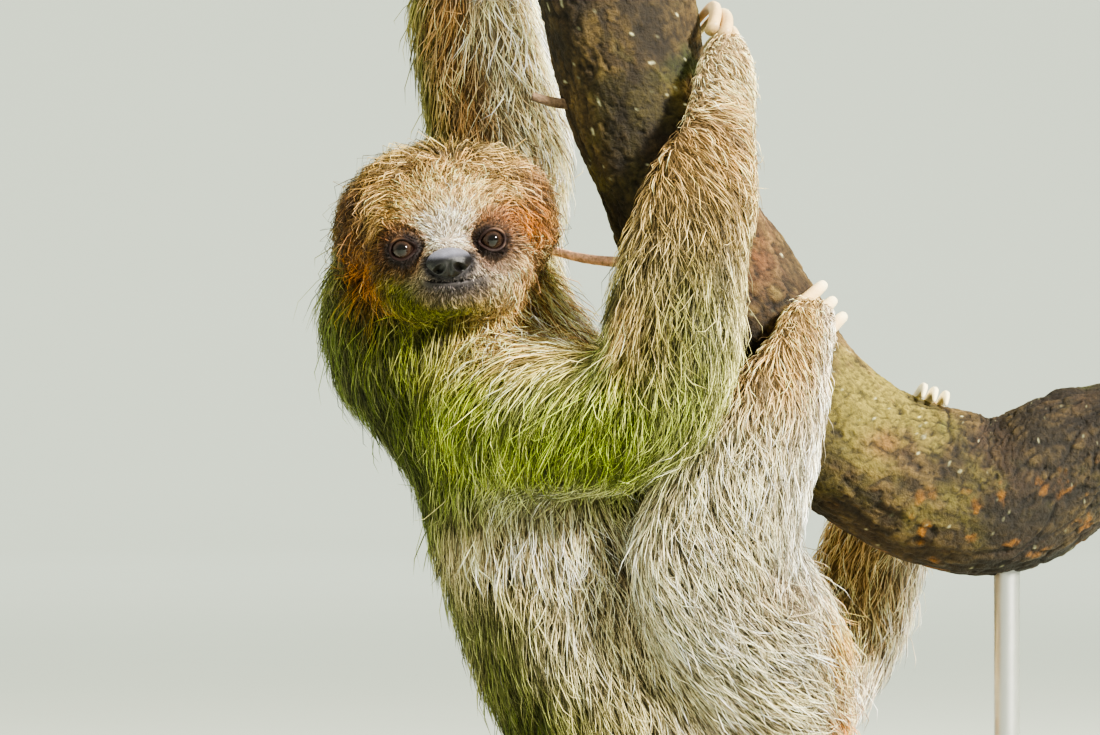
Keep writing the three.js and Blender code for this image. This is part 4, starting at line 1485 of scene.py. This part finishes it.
def build_claws():
    """Three claws on each hand and foot."""
    made = []
    for limb, (places, *arc, root) in CLAWS.items():
        for i, place in enumerate(places):
            orange = ORANGE_CLAW if (limb, i) == ("right_hand", 0) else 0.0
            claw = build_claw(f"claw_{limb}_{i + 1}", claw_arc(place, *arc), root, orange)
            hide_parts(f"{limb}_claw_{i + 1}")
            made.append(claw)
    return made


# ---- the branch --------------------------------------------------------------------------------------

BARK_RINGS, BARK_SIDES, BARK_RADIUS = 470, 170, 34
CUT_RINGS, CUT_STEP = 34, 0.4
PITH, YEAR = np.array([1.5, 2.0, 1.0]), 2.1  # how far the growth rings' middle is off, and how wide each is
RING_EASE = 45  # rings over which a ring's tilt is averaged
KNOT = (np.array([163.0, -6.0, 260.0]), np.array([15.0, 17.0, 12.0]))
STUB = (np.array([-62.0, -8, 400]), np.array([-84.0, -11, 404]), 2.4)
TWIG = (np.array([-40.0, 2, 328]), np.array([-76.0, 24, 334]), 2.3)
TWIG_TIP = 0.5
BARK_BROWN = linear(0.25, 0.19, 0.12)
BARK_TAN = linear(0.52, 0.42, 0.28)
BARK_DARK = linear(0.10, 0.075, 0.05)
BARK_PURPLE = linear(0.28, 0.20, 0.18)
LICHEN = linear(0.50, 0.45, 0.22)
MOSS = linear(0.27, 0.34, 0.13)
BARK_ORANGE = linear(0.72, 0.46, 0.12)
PEELED = linear(0.62, 0.38, 0.26)
SPECK = linear(0.85, 0.83, 0.76)
SAWN = linear(0.80, 0.66, 0.45)
SAWN_DARK = linear(0.58, 0.42, 0.25)
BARK_GREEN_LIGHT = [0.88, 0.91, 0.64]  # painted green light: the green cast of the wood's surroundings over all the bark

SCATTER = np.array([[127.1, 269.5, 419.2], [311.7, 183.3, 371.9], [74.7, 246.1, 97.3]])  # any large numbers


def cells(p, size, seed):
    """Distances to the nearest and the next of points strewn about, and a number for the nearest one."""
    q = p / size
    base = np.floor(q)
    first = np.full(len(p), 9.0)
    second = np.full(len(p), 9.0)
    name = np.zeros(len(p))
    for step in np.ndindex(3, 3, 3):
        cell = base + np.array(step) - 1
        shift = np.sin(cell @ SCATTER + seed) * 43758.5453
        shift -= np.floor(shift)
        d = np.linalg.norm(cell + 0.15 + 0.7 * shift - q, axis=1)
        closer = d < first
        second = np.where(closer, first, np.minimum(second, d))
        name = np.where(closer, shift[:, 0], name)
        first = np.where(closer, d, first)
    return first, second, name


def bark_relief(straight):
    """How far the bark stands out at each point of the branch laid straight, and how deep its cracks are."""
    swirl = straight + 1.6 * np.stack([noise(straight, 9, k) for k in (81, 82, 83)], axis=1)
    flakes, next_flakes, tone = cells(swirl * [1, 1, 0.5], 3.6, 1.7)
    plates, next_plates, _ = cells(swirl * [1, 1, 0.4], 11.0, 4.1)
    crack = smoothstep(0.16, 0.0, next_flakes - flakes)
    deep = smoothstep(0.10, 0.0, next_plates - plates) * smoothstep(-0.2, 0.5, noise(straight, 60, 84))
    ridge = 1 - np.abs(noise(swirl * [1, 1, 0.28], 6.5, 85))
    relief = 0.75 * (tone - 0.5) - 0.55 * crack - 1.1 * deep + 0.9 * (ridge - 0.6)
    relief += 0.35 * layered_noise(straight, 2.4, 86, 2) + 1.3 * noise(straight, 45, 87)
    pits = smoothstep(0.55, 0.85, noise(straight, 5.0, 88))
    relief -= 1.0 * pits
    return relief, np.clip(crack * 0.7 + deep + pits * 0.8, 0, 1), tone


def bark_colours(points, straight, crack, tone):
    """Flakes of brown and tan, with patches of lichen, moss, peeled wood and orange, and dark cracks."""
    x, y, z = points.T
    patch = layered_noise(straight, 40, 91)
    small = layered_noise(straight, 9, 92)
    grain = noise(straight * [1, 1, 0.5], 1.6, 93)
    middle = blob((x, z), (72, 262), (34, 36))  # the pale stretch beside the feet
    pale = np.clip(0.10 + 0.9 * (tone - 0.4) + 0.35 * grain + 0.35 * small + 0.45 * middle, 0, 1)
    dark = smoothstep(0.0, 0.6, layered_noise(straight, 24, 96) - 0.6 * middle + 0.25 + 0.3 * small)
    peeled = blob((x, z, y), (77, 245, -40), (7, 6, 12)) + 0.6 * blob((x, z, y), (18, 330, -20), (8, 18, 22))
    low = smoothstep(216, 196, z - 0.15 * x) * smoothstep(40, 70, x)
    spots = smoothstep(0.66, 0.8, layered_noise(straight, 7, 98)) * smoothstep(60, 110, x)
    colour = tint(
        mix(BARK_BROWN, BARK_TAN, pale[:, None]),
        (BARK_PURPLE, 0.6 * smoothstep(-0.1, 0.5, layered_noise(straight, 26, 94))),
        (LICHEN, (0.55 + 0.35 * middle) * smoothstep(0.1, 0.7, patch + 0.7 * small + 0.6 * middle)),
        (MOSS, 0.75 * smoothstep(0.3, 0.75, layered_noise(straight, 22, 95) + 0.3 * small)),
        (BARK_DARK, 0.75 * dark),
        (PEELED, peeled * (0.6 + 0.6 * small)),
        (BARK_ORANGE, smoothstep(0.25, 0.5, layered_noise(straight, 6, 97)) * low * 0.8),
        (BARK_ORANGE, 0.7 * spots),
        (SPECK, 0.8 * smoothstep(0.80, 0.9, noise(straight, 2.1, 99))),
        (BARK_DARK, 0.9 * crack),
    )
    shade = mix(0.72, 0.42, smoothstep(60, 130, x) * (1 - middle))
    # the bark's colour tinted by the painted green light of its surroundings
    return colour * shade[:, None] * BARK_GREEN_LIGHT


def branch_rows():
    """Rows of the branch and the way along it at each ring, smoothed, and how far along each ring is."""
    rows = along_branch(np.linspace(0, 1, BARK_RINGS))
    for _ in range(6):
        rows[1:-1] = (rows[:-2] + rows[1:-1] * 2 + rows[2:]) / 4
    down = unit(np.gradient(rows[:, :3], axis=0))
    # the rings turn more slowly than the line does, so that they don't cross inside a bend
    down = np.pad(down, ((RING_EASE, RING_EASE), (0, 0)), mode="edge")
    window = np.hanning(2 * RING_EASE + 1)
    down = unit(np.stack([np.convolve(way, window, "valid") for way in down.T], axis=1))
    travelled = np.append(0, np.cumsum(np.linalg.norm(np.diff(rows[:, :3], axis=0), axis=1)))
    return rows, down, travelled


def cut_end(ring, centre, down, way):
    """Flattens an end ring and fills it with smaller ones, each a step out of the cut's own plane."""
    flat = ring - ((ring - centre) @ down)[:, None] * down
    inner = [centre + (flat - centre) * k for k in np.linspace(0.985, 0.03, CUT_RINGS)]
    return flat, np.array(inner) + down * way * CUT_STEP


def build_branch():
    """The branch with its bark in relief, a knot, and a sawn face at each end."""
    rows, down, travelled = branch_rows()
    each = BARK_SIDES
    s, a = np.repeat(np.linspace(0, 1, BARK_RINGS), each), np.tile(full_turn(each), BARK_RINGS)
    wide, deep = np.repeat(rows[:, 3], each), np.repeat(rows[:, 4], each)
    round_x, round_y = np.cos(a) * BARK_RADIUS, np.sin(a) * BARK_RADIUS
    straight = np.stack([round_x, round_y, np.repeat(travelled, each)], axis=1)
    relief, crack, tone = bark_relief(straight)
    ripple = 1 + 0.025 * np.sin(19 * s + 2 * a) + 0.018 * np.sin(43 * s - 3 * a + 1)
    out = np.repeat(np.cross(down, BACK), each, axis=0)
    facing = unit(out * np.cos(a)[:, None] + BACK * np.sin(a)[:, None])
    middle = np.repeat(rows[:, :3], each, axis=0)
    points = middle + out * (np.cos(a) * wide * ripple)[:, None] + BACK * (np.sin(a) * deep * ripple)[:, None]
    swell = np.clip(-oval(points, *KNOT), 0, 20)
    points = points + facing * (swell * 0.9 + relief - 0.4)[:, None]
    grid = points.reshape(BARK_RINGS, each, 3)
    grid[0], top = cut_end(grid[0], rows[0, :3], down[0], -1)
    grid[-1], foot = cut_end(grid[-1], rows[-1, :3], down[-1], 1)
    top = top[::-1]
    tips = rows[0, :3] - down[0] * CUT_STEP, rows[-1, :3] + down[-1] * CUT_STEP
    bark, _ = loft("perch_bark", np.concatenate([top, grid, foot]), *tips)
    bark_colour = bark_colours(grid.reshape(-1, 3), straight, crack, tone)
    ends = sawn_colours(top, rows[0]), sawn_colours(foot, rows[-1])
    paint(bark, np.vstack([ends[0], bark_colour, ends[1], [SAWN_DARK] * 2]))
    return bark


def sawn_colours(rings, row):
    """Growth rings over a cut end, darker at the pith and at the bark."""
    flat = rings.reshape(-1, 3)
    off = flat - row[:3] - PITH
    reach = np.linalg.norm(off, axis=1) + 1.2 * noise(flat, 12, 101)
    ring = 0.5 + 0.5 * np.sin(reach * 2 * math.pi / YEAR)
    colour = mix(SAWN, SAWN_DARK, (0.25 + 0.5 * ring * smoothstep(0, 5, reach))[:, None])
    rim = np.linalg.norm(flat - row[:3], axis=1)
    return tint(
        colour,
        (SAWN_DARK, 0.8 * blob((reach,), (0,), (3,))),
        (BARK_DARK, smoothstep(31.5, 32.5, rim)),
    )


def build_twig(name, start, end, radius, colour, bend):
    """A thin bumpy twig from start to end that bows up or down by bend in its middle."""
    count, sides = TWIG_GRID
    t = np.linspace(0, 1, count)
    line = start + (end - start) * t[:, None]
    line[:, 2] += bend * np.sin(math.pi * t)
    tangent = unit(np.gradient(line, axis=0))
    across = unit(np.cross(tangent, BACK))
    up = np.cross(across, tangent)
    turn = full_turn(sides)
    size = radius * (1.1 - 0.25 * t)
    grid = line[:, None] + size[:, None, None] * (
        across[:, None] * np.cos(turn)[:, None] + up[:, None] * np.sin(turn)[:, None]
    )
    flat = grid.reshape(-1, 3)
    bumps = 0.16 * layered_noise(flat * [0.4, 1, 1], 1.6, 111) * radius / 2.3
    flat = flat + unit(flat - np.repeat(line, sides, axis=0)) * bumps[:, None]
    grid = flat.reshape(grid.shape)
    twig, points = loft(name, grid, line[0], line[-1] + tangent[-1] * TWIG_TIP)
    tone = 1 + 0.45 * layered_noise(points * [0.3, 1, 1], 1.5, 112)
    paint(twig, np.clip(colour * tone[:, None], 0.01, 0.9))
    return twig


# ---- the stand ---------------------------------------------------------------------------------------

BASE_CORNER, BASE_EDGE, BASE_FOOT = 32.0, 3.0, 1.2
ROD_RADIUS, ROD_SIDES = 6.0, 48


def build_base(low, high):
    """A flat plate with round corners and a rounded upper edge, filling the box from low to high."""
    middle, half = (low + high) / 2, (high - low) / 2
    corner = np.linspace(0, math.pi / 2, 17)
    outline = []
    for i, (sx, sy) in enumerate(((1, 1), (-1, 1), (-1, -1), (1, -1))):
        turn = corner + i * math.pi / 2
        centre = np.array([sx * (half[0] - BASE_CORNER), sy * (half[1] - BASE_CORNER)])
        outline.append(np.stack([np.cos(turn), np.sin(turn)], axis=1) * BASE_CORNER + centre)
    outline = np.vstack(outline)
    inward = unit(np.hstack([outline, np.zeros((len(outline), 1))]))[:, :2]
    levels = [(BASE_FOOT, low[2]), (0.0, low[2] + BASE_FOOT), (0.0, high[2] - BASE_EDGE)]
    for a in np.linspace(0, math.pi / 2, 9)[1:]:
        levels.append((BASE_EDGE * (1 - math.cos(a)), high[2] - BASE_EDGE * (1 - math.sin(a))))
    rings = []
    for inset, z in levels:
        flat = outline - inward * inset + middle[:2]
        rings.append(np.hstack([flat, np.full((len(flat), 1), z)]))
    base, _ = loft("stand_plate", rings, [*middle[:2], low[2]], [*middle[:2], high[2]])
    base.data.polygons.foreach_set("use_smooth", np.zeros(len(base.data.polygons), bool))
    return base


def build_rod(name, low, high):
    """A round rod with a softened upper end, standing in the box from low to high."""
    x, y = (low[:2] + high[:2]) / 2
    turn = full_turn(ROD_SIDES)
    z0, z1 = low[2], high[2]
    levels = [(z0, 1.0), (z0 + 0.01, 1.0)]
    levels += [(mix(z0, z1, t), 1.0) for t in np.linspace(0.02, 0.98, 24)]
    levels += [(z1 - 0.8, 1.0), (z1 - 0.25, 0.97), (z1, 0.88)]
    rings = [
        np.stack([x + np.cos(turn) * ROD_RADIUS * k, y + np.sin(turn) * ROD_RADIUS * k, 0 * turn + z], axis=1)
        for z, k in levels
    ]
    rod, _ = loft(name, rings, [x, y, z0], [x, y, z1])
    return rod


# ---- materials ---------------------------------------------------------------------------------------

def material(name, roughness, build, **settings):
    """A Principled material whose colour, bump and so on a builder function makes."""
    made = bpy.data.materials.new(name)
    made.use_nodes = True
    tree = made.node_tree
    shader = tree.nodes["Principled BSDF"]
    shader.inputs["Roughness"].default_value = roughness
    for key, value in settings.items():
        shader.inputs[key.replace("_", " ")].default_value = value
    build(tree, shader)
    return made


def node(tree, kind, **settings):
    """A new node, its settings and the values of its inputs given by name."""
    made = tree.nodes.new("ShaderNode" + kind)
    for key, value in settings.items():
        if hasattr(made, key):
            setattr(made, key, value)
        else:
            made.inputs[key.replace("_", " ")].default_value = value
    return made


def link(tree, source, output, target, put):
    """Joins a named output of one node to an input of another, given by name or place."""
    tree.links.new(source.outputs[output], target.inputs[put])


def noise_node(tree, scale, detail, stretch=None):
    """Noise laid out over the piece's own coordinates."""
    made = node(tree, "TexNoise", Scale=scale, Detail=detail, Roughness=0.6)
    place = node(tree, "TexCoord")
    if not stretch:
        link(tree, place, "Object", made, "Vector")
        return made
    mapping = node(tree, "Mapping", Scale=stretch)
    link(tree, place, "Object", mapping, "Vector")
    link(tree, mapping, "Vector", made, "Vector")
    return made


def bump(tree, shader, texture, strength, distance):
    """Gives a surface the relief of a texture."""
    made = node(tree, "Bump", Strength=strength, Distance=distance)
    link(tree, texture, "Fac", made, "Height")
    link(tree, made, "Normal", shader, "Normal")


NOISE_LOW, NOISE_HIGH = 0.3, 0.7  # between these lie nearly all the values of a noise texture


def toned(tree, shader, texture, dark, light):
    """The painted colour, made darker and lighter by a texture."""
    tone = node(tree, "Attribute", attribute_name="tone")
    ramp = node(tree, "MapRange", To_Min=dark, To_Max=light, From_Min=NOISE_LOW, From_Max=NOISE_HIGH)
    link(tree, texture, "Fac", ramp, "Value")
    times = node(tree, "VectorMath", operation="SCALE")
    link(tree, tone, "Color", times, 0)
    link(tree, ramp, "Result", times, "Scale")
    link(tree, times, "Vector", shader, "Base Color")


SURFACES = {
    # name: (roughness, fineness of its spots, how dark and how light they are, strength of its relief
    #        and depth in metres, detail)
    "skin": (0.62, 900.0, 0.85, 1.12, 0.35, 0.0006, 4.0),
    "fur": (0.5, 700.0, 0.88, 1.10, 0.2, 0.0003, 3.0),
    "eye_surface": (0.04, 1500.0, 0.92, 1.08, 0.0, 0.0001, 3.0),
    "nose_skin": (0.34, 2200.0, 0.8, 1.2, 0.5, 0.0005, 4.0),
    "horn": (0.38, 600.0, 0.88, 1.08, 0.25, 0.0004, 4.0),
    "bark_surface": (0.85, 520.0, 0.55, 1.45, 0.9, 0.0016, 8.0),
}


def surface(name, **settings):
    """A material with the painted colour, and fine spots in its colour and its relief."""
    roughness, scale, dark, light, strength, distance, detail = SURFACES[name]

    def build(tree, shader):
        """Adds the texture's nodes."""
        texture = noise_node(tree, scale, detail)
        toned(tree, shader, texture, dark, light)
        bump(tree, shader, texture, strength, distance)

    return material(name, roughness, build, **settings)


def colour_ramp(tree, dark, light, places=(0.0, 1.0)):
    """A ramp from a dark colour to a light one."""
    made = node(tree, "ValToRGB")
    for end, place, colour in zip(made.color_ramp.elements, places, (dark, light)):
        end.position = place
        end.color = (*colour, 1)
    return made


WALNUT_DARK, WALNUT_LIGHT = (0.055, 0.028, 0.014), (0.21, 0.115, 0.055)


def wood(tree, shader):
    """Dark walnut with its grain along the plate."""
    grain = noise_node(tree, 60.0, 6.0, (0.6, 9.0, 9.0))
    broad = noise_node(tree, 8.0, 2.0, (0.8, 5.0, 5.0))
    ramp = colour_ramp(tree, WALNUT_DARK, WALNUT_LIGHT, (0.32, 0.72))
    both = node(tree, "Math", operation="ADD")
    half = node(tree, "Math", operation="MULTIPLY")
    half.inputs[1].default_value = 0.5
    link(tree, grain, "Fac", both, 0)
    link(tree, broad, "Fac", both, 1)
    link(tree, both, "Value", half, 0)
    link(tree, half, "Value", ramp, "Fac")
    link(tree, ramp, "Color", shader, "Base Color")
    bump(tree, shader, grain, 0.15, 0.0004)


def steel(tree, shader):
    """Brushed steel, the brushing round the rods."""
    brushing = noise_node(tree, 300.0, 4.0, (0.15, 0.15, 4.0))
    ramp = node(tree, "MapRange", To_Min=0.24, To_Max=0.42)
    link(tree, brushing, "Fac", ramp, "Value")
    link(tree, ramp, "Result", shader, "Roughness")
    bump(tree, shader, brushing, 0.08, 0.0002)


PAPER = (0.33, 0.36, 0.30)


def plain_paper(tree, shader):
    """Pale green-grey paper, very slightly uneven."""
    texture = noise_node(tree, 3.0, 2.0)
    ramp = colour_ramp(tree, np.array(PAPER) * 0.97, PAPER)
    link(tree, texture, "Fac", ramp, "Fac")
    link(tree, ramp, "Color", shader, "Base Color")


# ---- putting it together -----------------------------------------------------------------------------

FLESH = [
    "head", "neck", "trunk", "tail",
    *(f"{side}_{part}" for side in ("right", "left")
      for part in ("upper_arm", "forearm", "hand", "thigh", "shank", "foot")),
]
CAMERA_AT = (-0.0759, -4.0, 0.2795)
SENSOR, WIDTH_SEEN = 36.0, 0.506  # the camera's sensor in mm, and metres across the picture at the sloth
SEEN_TO = 50  # metres
UNDER_FUR = 0.30  # how dark the skin is painted under the coat, against the coat: partly its own tone and partly painted shade between the strands
FACE_SKIN = 0.3  # the skin is only bare where the face mask is above this
STUB_BROWN, TWIG_PINK = linear(0.42, 0.34, 0.26), linear(0.84, 0.66, 0.53)
SHEET = (14.0, -14.0, 12.0, 9.0, 2.5)  # the backdrop's half-width, front, back, top and curve, in metres
SHEET_DROP = 0.0005  # how far it lies under the stand
AIM = (0.0, 0.0, 0.3)
LAMPS = [
    # name, place, what it points at, size, power, colour, whether shiny things mirror it
    ("key", (2.4, -2.5, 2.1), AIM, 0.45, 600, (1.0, 0.95, 0.86), True),
    ("top", (-0.5, -1.1, 3.2), AIM, 1.5, 110, (1.0, 0.99, 0.95), False),
    ("fill", (-2.6, -2.6, 1.2), AIM, 2.6, 38, (0.96, 0.98, 1.0), False),
    ("rim", (2.2, 1.0, 1.7), AIM, 0.8, 380, (1.0, 0.95, 0.86), False),
    ("backdrop_wash", (0.0, 8.0, 7.0), (0.0, 9.5, 0.0), 6.0, 1500, (1.0, 1.0, 1.0), False),
]
SKY = (0.86, 0.90, 0.76, 1)


def ride(piece, look):
    """Gives a piece its material and slot, and fixes it to the body."""
    piece.data.materials.clear()
    piece.data.materials.append(look)
    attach(piece, "root")


def box_mm(name):
    """The corners of a CAD node's box in millimetres."""
    low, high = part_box(name)
    return np.array(low) / MM, np.array(high) / MM


def build_sloth():
    """The skin, painted, and the coat that grows on it."""
    skin = build_skin()
    known = survey(skin)
    hairless = bare(known["q"]) & (face_mask(known["q"]) > FACE_SKIN)
    # under the coat the skin is darkened: partly its own tone and partly painted shade between the strands
    paint(skin, known["colour"] * np.where(hairless, 1.0, UNDER_FUR)[:, None])
    ride(skin, surface("skin", Specular_IOR_Level=0.22))
    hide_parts(*FLESH)
    fur = surface("fur", Specular_IOR_Level=0.45)
    for piece in build_coat(skin, known):
        ride(piece, fur)


def build_details():
    """The eyes, the nose and the claws."""
    glass = surface("eye_surface", Coat_Weight=0.3, Coat_Roughness=0.02, Specular_IOR_Level=0.35)
    for name, side in (("left", 1), ("right", -1)):
        eye = build_eye(f"eyeball_{name}", side)
        ride(eye, glass)
        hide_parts(f"eye_{name}")
    nose = build_nose()
    ride(nose, surface("nose_skin"))
    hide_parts("nose")
    horn = surface("horn")
    for claw in build_claws():
        ride(claw, horn)


def build_perch():
    """The branch, its stub and twig, and the stand."""
    bark = surface("bark_surface")
    branch = build_branch()
    ride(branch, bark)
    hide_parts("perch_branch")
    ride(build_twig("perch_stub", *STUB, STUB_BROWN, -1.0), bark)
    ride(build_twig("perch_twig", *TWIG, TWIG_PINK, -1.5), bark)
    plate = build_base(*box_mm("stand_base"))
    ride(plate, material("walnut", 0.35, wood, Coat_Weight=0.3, Coat_Roughness=0.2))
    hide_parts("stand_base")
    metal = material("rod_steel", 0.3, steel, Metallic=1.0, Base_Color=(0.60, 0.60, 0.59, 1))
    for name in ("stand_rod_perch", "stand_rod_body"):
        rod = build_rod(name.replace("stand_", "") + "_round", *box_mm(name))
        ride(rod, metal)
        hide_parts(name)


def lamp(name, place, aim, size, power, colour, glossy):
    """A square lamp that points at its aim."""
    data = bpy.data.lights.new(name, "AREA")
    data.energy, data.size, data.color = power, size, colour
    light = bpy.data.objects.new(name, data)
    light.location = place
    light.rotation_euler = (Vector(place) - Vector(aim)).to_track_quat("Z", "Y").to_euler()
    light.visible_glossy = glossy
    bpy.context.scene.collection.objects.link(light)


def build_backdrop():
    """A pale sheet that lies flat under the stand and curves up behind it."""
    across, front, back, top, curve = SHEET
    profile = [(front, 0.0), (back - curve, 0.0)]
    for a in np.linspace(0, math.pi / 2, 25)[1:]:
        profile.append((back - curve + curve * math.sin(a), curve - curve * math.cos(a)))
    profile.append((back, top))
    points, faces = [], []
    for i, (y, z) in enumerate(profile):
        points += [(-across, y, z - SHEET_DROP), (across, y, z - SHEET_DROP)]
        if i:
            faces.append((2 * i - 2, 2 * i - 1, 2 * i + 1, 2 * i))
    return mesh_from("backdrop", np.array(points) / MM, faces)


def build_studio():
    """The backdrop, the lamps and the light of the surroundings."""
    paper = build_backdrop()
    paper.data.materials.append(material("backdrop_paper", 0.9, plain_paper))
    for settings in LAMPS:
        lamp(*settings)
    world = bpy.data.worlds.new("studio")
    bpy.context.scene.world = world
    world.use_nodes = True
    sky = world.node_tree.nodes["Background"]
    sky.inputs["Color"].default_value = SKY
    sky.inputs["Strength"].default_value = 0.6
    bpy.context.scene.view_settings.look = "AgX - Medium High Contrast"


def build_camera():
    """The camera where the photo was taken from, level and looking straight back."""
    data = bpy.data.cameras.new("camera")
    data.lens = SENSOR * -CAMERA_AT[1] / WIDTH_SEEN
    data.sensor_width = SENSOR
    data.clip_end = SEEN_TO
    camera = bpy.data.objects.new("camera", data)
    camera.location = CAMERA_AT
    camera.rotation_euler = (math.pi / 2, 0, 0)
    bpy.context.scene.collection.objects.link(camera)
    bpy.context.scene.camera = camera


build_sloth()
build_details()
build_perch()
build_studio()
build_camera()
